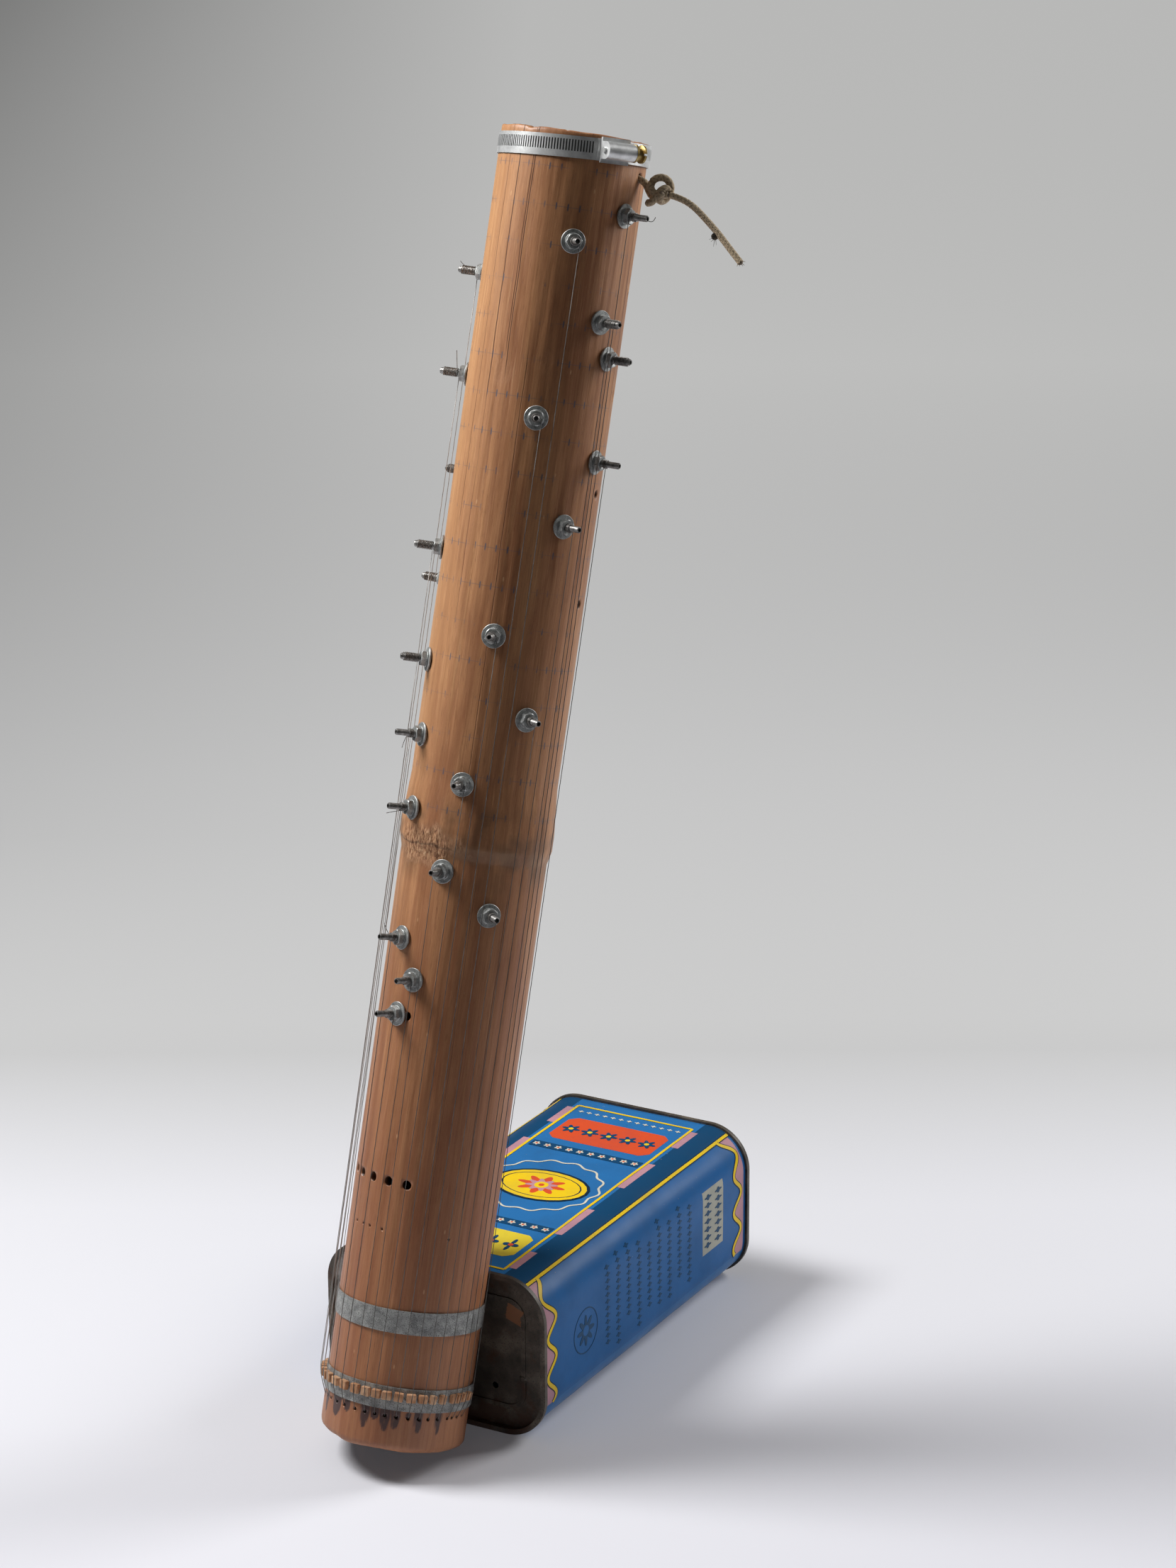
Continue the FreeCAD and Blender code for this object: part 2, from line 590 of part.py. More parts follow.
def make_strings():
    for label, indices in (("strings_left", LEFT), ("strings_front", FRONT), ("strings_right", RIGHT)):
        finish(group(label.title().replace("_", ""), [string_solid(index) for index in indices]), label, LEAN)


def clamp_slope(angle):
    """Angle at which the tilted clamp rises to the right, at an angle round the tube."""
    ahead = math.radians(angle - size("clamp_rise_angle"))
    return math.degrees(math.atan(-math.tan(math.radians(size("clamp_tilt_angle"))) * math.sin(ahead)))


def on_clamp(angle, height, reach=0.0):
    """Placement on the tilted clamp, with X along its band and Z out of the tube."""
    ahead = math.radians(angle - size("clamp_rise_angle"))
    lift = size("tube_radius") * math.tan(math.radians(size("clamp_tilt_angle"))) * math.cos(ahead)
    slope = Rotation(Vector(0, 0, 1), clamp_slope(angle))
    return radial(angle, height + lift, reach) * Placement(Vector(), slope)


def make_clamp():
    """Worm-drive clamp round the tube's top: slotted band with its overlapping tail,
    housing, and the screw that turns in it."""
    inner = f"{S}tube_radius + {S}strap_fit"
    height = f"{S}tube_length - {S}clamp_drop - {S}clamp_width / 2"
    hinge = radial(size("clamp_rise_angle") - 90, 0).Rotation.multVec(Vector(0, 0, 1))
    tilt = Rotation(hinge, size("clamp_tilt_angle"))
    ring = band("ClampRing", inner, f"{S}clamp_thick", f"{S}clamp_width", height, tilt)
    tail_band = band("ClampTail", f"{inner} + {S}clamp_thick", f"{S}clamp_thick", f"{S}clamp_width", height, tilt)
    wedge_radius = size("tube_radius") * 2
    sweep = size("tail_end_angle") - size("tail_start_angle")
    sector = Part.makeCylinder(wedge_radius, size("tube_length"), Vector(), Vector(0, 0, 1), sweep)
    sector.rotate(Vector(), Vector(0, 0, 1), -90 + size("tail_start_angle"))
    sector_node = group("ClampSector", [sector])
    tail = common("ClampTailArc", tail_band, sector_node)
    outside = size("tube_radius") + size("strap_fit") + size("clamp_thick")
    middle = worth(height) + size("slot_rise")
    slots = []
    angle = size("slot_start_angle")
    while angle < size("tail_start_angle") - size("slot_pitch_angle"):
        slots.append((angle, outside))
        angle += size("slot_pitch_angle")
    angle = size("clamp_angle") + math.degrees((size("housing_length") / 2 + size("head_length")) / outside)
    while angle < size("tail_end_angle") - size("slot_pitch_angle"):
        slots.append((angle, outside + size("clamp_thick")))
        angle += size("slot_pitch_angle")
    cutters = []
    for angle, reach in slots:
        deep = size("slot_depth")
        box = Part.makeBox(size("slot_width"), size("slot_length"), deep + size("overrun"),
                           Vector(-size("slot_width") / 2, -size("slot_length") / 2, -deep))
        box.Placement = on_clamp(angle, middle, reach)
        cutters.append(box)
    body = cut("ClampBandCut", fuse("ClampBandFused", ring, tail), group("ClampSlots", cutters))
    finish(body, "clamp_band", LEAN)

    seat = outside + size("clamp_thick") + size("housing_seat")
    axis_reach = seat + size("worm_radius") + size("worm_fit") + size("housing_wall") / 2
    place = on_clamp(size("clamp_angle"), worth(height))
    back = Placement(Vector(), Rotation(Vector(0, 0, 1), -clamp_slope(size("clamp_angle"))))
    along = Rotation(Vector(0, 1, 0), 90)
    half = f"{S}housing_length / 2"
    cover = cylinder("HousingCover", f"{S}housing_radius", f"{S}housing_length",
                     Placement(Vector(-worth(half), 0, axis_reach), along))
    skirt = block("HousingSkirt", f"{S}housing_length", f"2 * {S}housing_radius", str(axis_reach - seat),
                  Placement(Vector(-worth(half), -size("housing_radius"), seat), Rotation()))
    base = block("HousingBase", f"{S}housing_length", f"2 * {S}housing_base", f"2 * {S}housing_wall",
                 Placement(Vector(-worth(half), -size("housing_base"), seat - size("housing_wall")), Rotation()))
    shell = fuse("HousingFused", cover, skirt, base)
    room = cylinder("HousingRoom", f"{S}worm_radius + {S}worm_fit", f"{S}housing_length",
                    Placement(Vector(-worth(half) + size("housing_wall"), 0, axis_reach), along))
    journal = cylinder("HousingJournal", f"{S}journal_radius + {S}pin_fit", f"{S}housing_length",
                       Placement(Vector(-worth(half) - size("overrun"), 0, axis_reach), along))
    under = cylinder("HousingUnder", f"{inner} + 2 * {S}clamp_thick + {S}housing_seat", f"4 * {S}clamp_width",
                     back * Placement(Vector(0, 2 * size("clamp_width"), 0), Rotation(Vector(1, 0, 0), 90)))
    hollow = fuse("HousingHollow", room, journal, under)
    finish(cut("HousingCut", shell, hollow), "clamp_housing", LEAN * place)

    start = f"-{half} + {S}housing_wall + {S}worm_fit"
    screw = turned("ScrewTurned", [
        ("", f"-{half} - {S}journal_reach"),
        (f"{S}journal_radius", f"-{half} - {S}journal_reach"),
        (f"{S}journal_radius", start),
        (f"{S}worm_radius", start),
        (f"{S}worm_radius", half),
        (f"{S}head_radius", f"{half} + {S}worm_fit"),
        (f"{S}head_radius", f"{half} + {S}head_flange"),
        (f"{S}head_neck", f"{half} + 1.5 * {S}head_flange"),
        (f"{S}head_neck", f"{half} + {S}head_length - 1.5 * {S}head_flange"),
        (f"{S}head_radius", f"{half} + {S}head_length - {S}head_flange"),
        (f"{S}head_radius", f"{half} + {S}head_length"),
        ("", f"{half} + {S}head_length")])
    slot = block("ScrewSlot", f"4 * {S}head_radius", f"{S}head_slot", f"{S}head_slot_depth + {S}overrun",
                 Placement(Vector(-2 * size("head_radius"), -size("head_slot") / 2,
                                  worth(half) + size("head_length") - size("head_slot_depth")), Rotation()))
    made = cut("ScrewSlotted", screw, slot)
    doc.recompute()
    finish(made, "clamp_screw", LEAN * place * Placement(Vector(0, 0, axis_reach), along))
    return LEAN * place * Placement(Vector(0, 0, axis_reach), along)


def make_tin():
    """Seamed rectangular tin. Its near end and body are cut to a saddle for the tube, and a
    tab bent in from the near end is screwed to the tube's back."""
    saddle_radius = f"{S}tube_radius + {S}strap_fit + {S}strap_thick + {S}saddle_fit"
    saddle = cylinder("Saddle", saddle_radius, f"{S}tube_length", LEAN)
    outer = tin_prism("TinOuter", f"{S}rim_proud", f"{S}rim_length", f"{S}tin_length - 2 * {S}rim_length")
    inner = tin_prism("TinInner", f"{S}rim_proud + {S}tin_wall", f"{S}rim_length",
                      f"{S}tin_length - 2 * {S}rim_length")
    body = cut("TinBodyCut", cut("TinBodyShell", outer, inner), saddle)
    finish(body, "tin_body")

    def end(name):
        """A seamed end facing -Y, its rim's outer face on the tin's near plane."""
        wall = f"{S}rim_proud + {S}tin_wall + {S}end_fit"
        rim = tin_prism(name + "Rim", "0", "0", f"{S}rim_length")
        sleeve = tin_prism(name + "Sleeve", wall, "0", f"{S}end_depth + {S}tin_wall")
        hollow = tin_prism(name + "Hollow", f"{wall} + {S}tin_wall", f"-{S}overrun",
                           f"{S}end_depth + {S}overrun")
        raised = tin_prism(name + "Bead", f"{wall} + {S}bead_inset", f"{S}end_depth - {S}bead_height",
                           f"{S}bead_height + {S}tin_wall")
        sunk = tin_prism(name + "Field", f"{wall} + {S}bead_inset + {S}bead_width", f"-{S}overrun",
                         f"{S}end_depth + {S}overrun")
        dish = cut(name + "Dish", fuse(name + "Solid", rim, sleeve), hollow)
        bead = cut(name + "BeadRing", raised, sunk)
        return fuse(name + "Pressed", dish, bead)

    near = cut("NearEndSaddled", end("NearEnd"), saddle)
    panel = size("end_depth") - size("rim_length") / 2
    drilled = cylinder("PanelDrill", f"{S}panel_hole", f"2 * {S}end_depth",
                       Placement(Vector(size("panel_hole_x"), panel + size("end_depth"), size("panel_hole_z")),
                                 Rotation(Vector(1, 0, 0), 90)))
    stud = doc.addObject("Part::Cone", "PanelStud")
    bind(stud, Radius1=f"{S}stud_radius", Radius2=f"{S}stud_radius / 2", Height=f"{S}stud_height")
    stud.Placement = Placement(Vector(size("stud_x"), panel, size("stud_z")), Rotation(Vector(1, 0, 0), 90))
    tab_inner = size("tube_radius") + size("tab_fit")
    tab_height = size("tab_high") - size("tab_low")
    sweep = 2 * size("tab_half_angle")
    tab = Part.makeCylinder(tab_inner + size("tab_thick"), tab_height, Vector(0, 0, size("tab_low")),
                            Vector(0, 0, 1), sweep)
    tab = tab.cut(Part.makeCylinder(tab_inner, tab_height, Vector(0, 0, size("tab_low"))))
    tab.rotate(Vector(), Vector(0, 0, 1), 90 - size("tab_half_angle"))
    holes = []
    screws = []
    head_seat = bore() - size("tin_screw_fit")
    for side in (-1, 1):
        place = radial(180 + side * size("tin_screw_angle"), size("tin_screw_height"), head_seat)
        out = place.Rotation.multVec(Vector(0, 0, 1))
        reach = tab_inner + size("tab_thick") + size("tin_screw_tip") - head_seat
        holes.append(Part.makeCylinder(size("tin_screw_radius") + size("tin_screw_fit"), reach, place.Base, out))
        flat_drop = size("tin_screw_head") ** 2 / (2 * head_seat)
        head = Part.makeCone(size("tin_screw_head") * 0.6, size("tin_screw_head"), size("tin_screw_dome"),
                             place.Base - out * (size("tin_screw_dome") + flat_drop), out)
        shank = Part.makeCylinder(size("tin_screw_radius"), reach + flat_drop, place.Base - out * flat_drop, out)
        screws.append(head.fuse(shank).removeSplitter())
    for hole in holes:
        tab = tab.cut(hole)
    tab_node = group("SaddleTab", [tab])
    tab_node.Placement = LEAN
    near_parts = fuse("NearEndFused", near, stud, tab_node)
    finish(cut("NearEndCut", near_parts, drilled), "tin_near_end")
    finish(group("TinScrews", screws), "tin_screws", LEAN)
    far = end("FarEnd")
    doc.recompute()
    turn = Placement(Vector(0, size("tin_length") - size("rim_length"), 0), Rotation(Vector(0, 0, 1), 180))
    finish(far, "tin_far_end", turn)


# Hanging cord: its free stretch from the outer knot to its frayed end, as reach from the
# tube's axis and drop below the cord hole, in the plane of the hole. Chosen by hand.
CORD_ROUTE = ((63.0, 7.4), (71.0, 8.6), (79.6, 12.3), (88.6, 19.1), (97.2, 25.9), (106.0, 34.0),
              (114.6, 41.6))
CORD_SWAY = (0.0, 0.2, 0.5, 0.4, -0.2, -0.9, -1.3)


def rounded_path(points):
    """Straight runs joined by tangent arcs, each arc as large as its two runs allow."""
    share = 0.45
    edges = []
    start = points[0]
    radii = []
    for before, corner, after in zip(points, points[1:], points[2:]):
        one = (before - corner).normalize()
        two = (after - corner).normalize()
        run = min((before - corner).Length, (after - corner).Length)
        half_turn = (math.pi - one.getAngle(two)) / 2
        back = share * run
        radius = back / math.tan(half_turn)
        radii.append(radius)
        first = corner + one * back
        last = corner + two * back
        inward = (one + two).normalize()
        centre_distance = math.hypot(back, radius)
        top = corner + inward * (centre_distance - radius)
        edges.append(Part.LineSegment(start, first).toShape())
        edges.append(Part.Arc(first, top, last).toShape())
        start = last
    edges.append(Part.LineSegment(start, points[-1]).toShape())
    return Part.Wire(edges), radii


def make_cord():
    """Braided hanging cord: inner stop knot with the stretch through the wall, the knot
    outside, the free stretch and the small lump tied to it."""
    angle = size("cord_angle")
    height = size("tube_length") - size("cord_hole_drop")
    place = radial(angle, height, 0)

    def spot(reach, drop, sway=0.0):
        return place.multVec(Vector(sway, -drop, reach))

    route = [spot(reach, drop, sway) for (reach, drop), sway in zip(CORD_ROUTE, CORD_SWAY)]
    path, radii = rounded_path(route)
    print("cord arc radii mm", [round(radius, 1) for radius in radii], "length mm", round(path.Length, 1))
    radius = size("cord_radius")
    start = route[1] - route[0]
    section = Part.Wire(Part.makeCircle(radius, route[0], start))
    cord = path.makePipeShell([section], True, False)
    expected = math.pi * radius ** 2 * path.Length
    print("cord volume share of its section times its length", round(cord.Volume / expected, 4))
    finish(group("Cord", [cord]), "cord", LEAN)

    out = place.Rotation.multVec(Vector(0, 0, 1))
    across = place.Rotation.multVec(Vector(1, 0, 0))
    skin = size("tube_radius") + size("strap_fit")
    loop = Part.makeTorus(size("cord_loop"), radius, spot(size("cord_loop_reach"), size("cord_loop_drop")), across)
    turn = Part.makeTorus(size("cord_turn"), radius, route[0] - start.normalize() * radius, start)
    lead_end = spot(size("cord_loop_reach"), size("cord_loop_drop") + size("cord_loop"))
    lead_start = spot(skin, radius)
    lead = Part.makeCylinder(radius, (lead_end - lead_start).Length, lead_start, lead_end - lead_start)
    core_length = (route[0] - lead_end).Length
    core = Part.makeCylinder(radius * 1.3, core_length, lead_end, route[0] - lead_end)
    knot = loop.fuse([turn, lead, core])
    keep_out = Part.makeCylinder(skin, size("tube_length") * 2, Vector())
    face_out = Part.makeCylinder(size("cord_loop") * 2, size("cord_loop") * 2, route[0], start)
    finish(group("CordKnot", knot.cut([keep_out, face_out]).Solids), "cord_knot", LEAN)

    ball_reach = bore() - size("cord_stop") - size("cord_stop_fit")
    ball = Part.makeSphere(size("cord_stop"), spot(ball_reach, 0))
    inside = Part.makeCylinder(radius, size("tube_radius") - ball_reach, spot(ball_reach, 0), out)
    finish(group("CordStop", [ball.fuse(inside).removeSplitter()]), "cord_stop_knot", LEAN)

    spot_tie = route[-3] + place.Rotation.multVec(Vector(0, -1, -1)) * size("cord_tie")
    tie = Part.makeSphere(size("cord_tie"), spot_tie)
    finish(group("CordTie", [tie.cut(cord)]), "cord_tie", LEAN)


make_tube()
make_straps()
make_pins()
make_bridges()
make_strings()
screw_place = make_clamp()
make_tin()
make_cord()

doc.recompute()
for thing in doc.Objects:
    if "Invalid" in thing.State or "Error" in thing.State:
        raise RuntimeError(f"{thing.Name} {thing.Label} failed: {thing.State}")
for node in NODES:
    if node.Shape.isNull() or not node.Shape.isValid() or not node.Shape.Solids:
        raise RuntimeError(f"{node.Label} has no valid solid")
for node in NODES:
    node.Shape.exportStep(f"parts/{node.Label}.step")
print("nodes", len(NODES), "clamp screw at", screw_place)
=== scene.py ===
"""Bamboo tube zither: the visual model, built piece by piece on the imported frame.

Every length is in metres in the row frame: +Z up, +Y along the tin away from the tube, +X to the right of
someone who faces the strings, origin on the floor at the middle of the tin's near rim.
"""

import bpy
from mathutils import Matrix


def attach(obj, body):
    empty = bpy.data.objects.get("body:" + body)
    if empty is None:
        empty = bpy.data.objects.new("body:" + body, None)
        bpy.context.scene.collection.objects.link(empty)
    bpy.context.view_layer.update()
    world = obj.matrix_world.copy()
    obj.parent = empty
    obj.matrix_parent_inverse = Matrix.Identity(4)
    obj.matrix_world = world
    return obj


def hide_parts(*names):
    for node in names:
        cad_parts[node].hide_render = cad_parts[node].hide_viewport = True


bl_info = {
    "name": "Bamboo tube zither",
    "version": (1, 0, 0),
    "blender": (4, 5, 0),
    "location": "View3D > Sidebar > Zither",
    "description": "Dresses a bamboo tube zither that leans on a flat tin",
    "category": "Add Mesh",
}

import math

import bpy
import numpy as np
from bpy.props import FloatProperty, FloatVectorProperty, PointerProperty
from mathutils import Matrix, Vector

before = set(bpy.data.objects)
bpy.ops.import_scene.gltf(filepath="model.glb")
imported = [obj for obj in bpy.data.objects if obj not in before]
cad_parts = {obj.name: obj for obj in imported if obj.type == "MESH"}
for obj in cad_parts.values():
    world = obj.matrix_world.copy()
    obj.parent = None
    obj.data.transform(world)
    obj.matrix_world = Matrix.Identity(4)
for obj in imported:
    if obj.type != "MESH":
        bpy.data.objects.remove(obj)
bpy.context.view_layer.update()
MM = 0.001

# Strings from left to right: pin angle and hole angle round the tube from its front line, in degrees, the
# pin's height above the foot in millimetres, the side on which the string leaves its pin, and the length of
# the wire wound on the pin in millimetres.
STRINGS = np.array([
    (-98.0, -96.0, 580.9, -1, 9.5), (-89.0, -87.3, 515.6, -1, 9.5), (-80.5, -78.6, 698.8, -1, 9.5),
    (-71.5, -69.5, 638.2, -1, 9.5), (-62.0, -60.5, 535.3, -1, 9.5), (-48.5, -51.5, 469.2, -1, 9.5),
    (-38.0, -42.6, 425.2, -1, 3.2), (-31.0, -35.3, 382.0, -1, 3.2), (-24.3, -25.5, 305.0, -1, 3.2),
    (-17.5, -15.9, 260.2, 1, 3.2), (-6.3, -4.8, 282.2, 1, 3.2), (6.0, 4.4, 349.0, -1, 3.2),
    (12.3, 12.8, 401.6, 1, 3.2), (20.1, 20.9, 490.5, 1, 3.2), (28.8, 29.8, 619.4, 1, 3.2),
    (37.7, 39.2, 723.1, 1, 3.2), (46.5, 48.0, 327.0, 1, 3.2), (54.5, 55.9, 444.1, 1, 3.2),
    (62.8, 64.3, 558.8, 1, 3.2), (70.4, 74.5, 679.1, 1, 9.5), (80.5, 80.0, 742.0, -1, 3.2),
    (84.0, 86.5, 658.7, -1, 9.5), (88.0, 94.0, 598.1, 1, 3.2)])
PIN_ANGLE, HOLE_ANGLE, PIN_HEIGHT, STRING_SIDE, WOUND = STRINGS.T

# Loose wire ends on some pins: pin number, then points to the right, up and out in the pin's own frame, in mm
TAILS = ((3, ((1.0, 2.2, 13.0), (1.6, 3.6, 15.2), (0.4, 4.8, 16.6))),
         (4, ((2.4, 1.0, 6.4), (2.9, 7.0, 7.4), (1.5, 13.0, 8.6))),
         (7, ((-2.5, -1.0, 8.2), (-4.2, -5.4, 9.4), (-2.6, -9.4, 10.6))),
         (8, ((0.5, -2.4, 9.2), (-0.6, -3.4, 13.0), (-1.0, -4.6, 16.8))),
         (9, ((-2.4, 1.2, 8.4), (-3.4, 4.6, 11.0), (-1.4, 8.0, 13.5))),
         (21, ((0.4, -0.6, 15.4), (0.9, -1.6, 18.2), (2.2, -0.8, 20.2), (2.8, 1.6, 20.4))))

# Hanging cord, as reach from the tube's axis, drop below its hole and sway to the right round the tube, in mm:
# its free stretch, and the strand that leaves the hole and closes the knot round it
CORD_HOLE = (96.0, 765.4)
CORD_ROUTE = np.array([(63.0, 7.4, 0.0), (71.0, 8.6, 0.2), (79.6, 12.3, 0.5), (88.6, 19.1, 0.4),
                       (97.2, 25.9, -0.2), (106.0, 34.0, -0.9), (114.6, 41.6, -1.3)])
KNOT_ROUTE = np.array([(34.5, 0.2, 0.0), (41.0, 0.4, 0.0), (46.5, 0.8, 0.0), (49.6, 5.4, 0.6), (51.8, 10.0, 2.0),
                       (57.2, 11.4, 3.4), (62.4, 8.2, 3.4), (63.6, 2.0, 2.2), (59.6, -2.6, 0.6),
                       (53.8, -1.4, -1.4), (51.6, 3.4, -3.0), (54.4, 8.4, -3.6), (59.0, 8.6, -1.8), (63.6, 7.5, 0.0)])
TURN_ROUTE = np.array([(50.5, 13.6, -1.6), (53.0, 14.2, -2.8), (56.2, 11.8, -3.4), (58.8, 5.4, -3.4), (61.4, 3.6, -1.0),
                       (62.6, 4.4, 2.6), (61.4, 9.4, 3.8), (58.6, 12.6, 1.2), (58.2, 11.2, -3.0), (60.6, 6.2, -4.2)])

# Dents in the tube's wall: angle and height of the middle, half sizes round and along, and depth, in degrees and mm
DENTS = ((118.0, 700.6, 3.5, 4.0, 0.9), (111.5, 638.9, 3.5, 4.5, 0.9), (-2.0, 644.0, 9.0, 8.0, 0.15),
         (30.0, 652.0, 7.0, 6.0, 0.2), (-57.0, 120.0, 6.0, 30.0, 0.25), (121.0, 250.0, 5.0, 26.0, 0.3))

# Place of the clamp screw's middle along its own axis
CLAMP_WAY = -0.0200

# Height of the string holes and radius of the washers in mm; half of the tin's flat top, half of its flat side
# and the radius of its corners in mm
HOLE_HEIGHT, WASHER = 22.2, 7.2
TIN_OUTLINE = (49.0, 24.5, 26.5)

# Braid: its radius in the gaps as a share of the cord's, and what a strand adds to that share
BRAID_GAP, BRAID_STRAND = 0.88, 0.16

# A direction that no knotted strand and no loose thread runs along
ASKEW = (0.31, 0.52, 0.79)

# Metals that more than one material has: dark, middle and light colour, metallic, roughness, patch, grain, pits
ZINC = ("8b8d8b", "a6a8a6", "c2c4c2", 0.55, 0.46, 4 * MM, 0.5 * MM, 0.9)
BARE_TIN = ("352f28", "50483f", "6e6559", 0.25, 0.46, 22 * MM, 1.2 * MM, 1.1)

# Camera: focal length and picture height in pixels, its place, its view and the direction to its right
FOCAL, TALL = 6116, 2212
CAMERA_AT, CAMERA_VIEW = (1.2575, -2.052, 1.217), (-0.4632, 0.8270, -0.3185)
CAMERA_SIDE = (0.8733, 0.4871, -0.0052)

# Floor colours, which grey with distance as painted shade, and the floor's painted glow, by how far back they lie, from
# 1 m in front of the zither to 7 m behind it
FLOOR_SHADES = ((0.0, "959599"), (0.07, "e4e3ea"), (0.125, "d6d6db"), (0.165, "cfcfd3"), (0.2, "999999"),
                (0.4, "909090"), (1.0, "8a8a8a"))
FLOOR_PAINTED_GLOWS = ((0.0, "000000"), (0.09, "38383b"), (0.165, "3e3e42"), (0.205, "868686"), (0.28, "989898"),
               (0.48, "b6b6b5"), (1.0, "b6b6b5"))


def linear(hexadecimal):
    """Linear RGB and alpha of an sRGB hex colour: each channel c becomes ((c + 0.055) / 1.055) to the
    power 2.4, or c / 12.92 below 0.04045."""
    channels = [int(hexadecimal[place:place + 2], 16) / 255 for place in (0, 2, 4)]
    return (*(c / 12.92 if c <= 0.04045 else ((c + 0.055) / 1.055) ** 2.4 for c in channels), 1.0)


class ZitherSizes(bpy.types.PropertyGroup):
    """Sizes of the tube and of what is fastened to it."""

    back_lean: FloatProperty(name="Back lean", description="Tube leaning back over the tin",
                             default=math.radians(15.2), subtype="ANGLE")
    side_lean: FloatProperty(name="Side lean", description="Tube leaning to the right",
                             default=math.radians(1.3), subtype="ANGLE")
    foot_y: FloatProperty(name="Foot depth", description="Middle of the foot along the tin",
                          default=-53.640 * MM, subtype="DISTANCE", precision=5)
    foot_z: FloatProperty(name="Foot height", description="Middle of the foot above the floor",
                          default=10.585 * MM, subtype="DISTANCE", precision=5)
    length: FloatProperty(name="Tube length", description="Bamboo tube from foot to top",
                          default=786 * MM, subtype="DISTANCE")
    radius: FloatProperty(name="Tube radius", description="Tube outside", default=43.8 * MM,
                          subtype="DISTANCE")
    bore: FloatProperty(name="Bore radius", description="Tube inside", default=37.0 * MM,
                        subtype="DISTANCE")
    node_low: FloatProperty(name="Node", description="Lower edge of the node's swelling",
                            default=357 * MM, subtype="DISTANCE")
    node_rise: FloatProperty(name="Node rise", description="Steeper lower side of the swelling",
                             default=8 * MM, subtype="DISTANCE")
    node_proud: FloatProperty(name="Node height", description="Node's swelling outside the tube",
                              default=2 * MM, subtype="DISTANCE")
    wire: FloatProperty(name="Wire", description="String diameter", default=0.42 * MM,
                        subtype="DISTANCE", precision=5)
    cord_diameter: FloatProperty(name="Cord", description="Hanging cord's diameter", default=3.8 * MM,
                                 subtype="DISTANCE", precision=5)


class ZitherColours(bpy.types.PropertyGroup):
    """Colours that a user would change."""

    bamboo: FloatVectorProperty(name="Bamboo", description="Aged, scraped culm", subtype="COLOR",
                                size=4, default=linear("bd875c"))
    bamboo_dark: FloatVectorProperty(name="Bamboo bands", description="Darker bands along the culm",
                                     subtype="COLOR", size=4, default=linear("925d3c"))
    tin_blue: FloatVectorProperty(name="Tin blue", description="Printed ground of the tin",
                                  subtype="COLOR", size=4, default=linear("2b6ca6"))
    cord: FloatVectorProperty(name="Cord", description="Braided fibre", subtype="COLOR", size=4,
                              default=linear("cab596"))


def tube_axes(sizes):
    """Rotation and foot of the tube's own frame, as numpy: x to the right of its front line, -y out of
    its front, z along its axis. It is the side lean about Y after the back lean about X."""
    turn = Matrix.Rotation(sizes.side_lean, 3, "Y") @ Matrix.Rotation(-sizes.back_lean, 3, "X")
    return np.array(turn), np.array((0.0, sizes.foot_y, sizes.foot_z))


def on_tube(sizes, angle, reach, height):
    """Row points at angles from the front line (degrees), reaches from the axis and heights (metres):
    (reach sin angle, -reach cos angle, height) in the tube's frame, turned and moved to the row."""
    turn, foot = tube_axes(sizes)
    theta = np.radians(angle)
    local = np.stack(np.broadcast_arrays(reach * np.sin(theta), -reach * np.cos(theta), height), axis=-1)
    return local @ turn.T + foot


def tube_place(sizes, points):
    """Angle in degrees, reach and height of row points in the tube's frame."""
    turn, foot = tube_axes(sizes)
    local = (points - foot) @ turn
    return np.degrees(np.arctan2(local[:, 0], -local[:, 1])), np.hypot(local[:, 0], local[:, 1]), local[:, 2]


def outward(sizes, angle, height, reach):
    """Origin and rotation of a frame on the tube with its Z pointing out, its X to the right round
    the tube and its Y up along the tube."""
    turn, _ = tube_axes(sizes)
    theta = math.radians(angle)
    local = np.array([(math.cos(theta), 0, math.sin(theta)), (math.sin(theta), 0, -math.cos(theta)), (0, 1, 0)])
    return on_tube(sizes, angle, reach, height), turn @ local


def swelling(sizes, height):
    """Node's swelling at heights: up its lower side, a crest of 9 mm, and a fade over 28 mm."""
    crest = sizes.node_low + sizes.node_rise
    return sizes.node_proud * np.interp(height, [sizes.node_low, crest, crest + 9 * MM, crest + 37 * MM],
                                        [0, 1, 1, 0])


def seat_at(sizes, height):
    """Reach of the highest place under a washer."""
    low = max(height - WASHER * MM, sizes.node_low + sizes.node_rise)
    return sizes.radius + (swelling(sizes, low) if height + WASHER * MM > sizes.node_low else 0.0)


def waves(seed, count, x, y, z=0.0):
    """Smooth noise between about -1 and 1: a sum of sines of seeded directions and phases, with
    frequencies spread between one and three turns per unit."""
    random = np.random.default_rng(seed)
    total = np.zeros(np.broadcast(x, y, z).shape)
    for direction, phase, rate in zip(random.normal(size=(count, 3)), random.uniform(0, 6.28, count),
                                      random.uniform(1, 3, count)):
        direction = direction / np.linalg.norm(direction) * rate * 2 * math.pi
        total += np.sin(direction[0] * x + direction[1] * y + direction[2] * z + phase)
    return total / math.sqrt(count)


def grid_faces(rows, columns, wrap_columns=False, wrap_rows=False):
    """Quads of a grid of rows by columns of points, as one array; a wrapped side closes on itself."""
    row = np.arange(rows if wrap_rows else rows - 1)[:, None]
    column = np.arange(columns if wrap_columns else columns - 1)[None, :]
    next_row, next_column = (row + 1) % rows, (column + 1) % columns
    corners = [row * columns + column, row * columns + next_column, next_row * columns + next_column,
               next_row * columns + column]
    return np.stack([np.broadcast_to(c, (row.size, column.size)) for c in corners], -1).reshape(-1, 4)


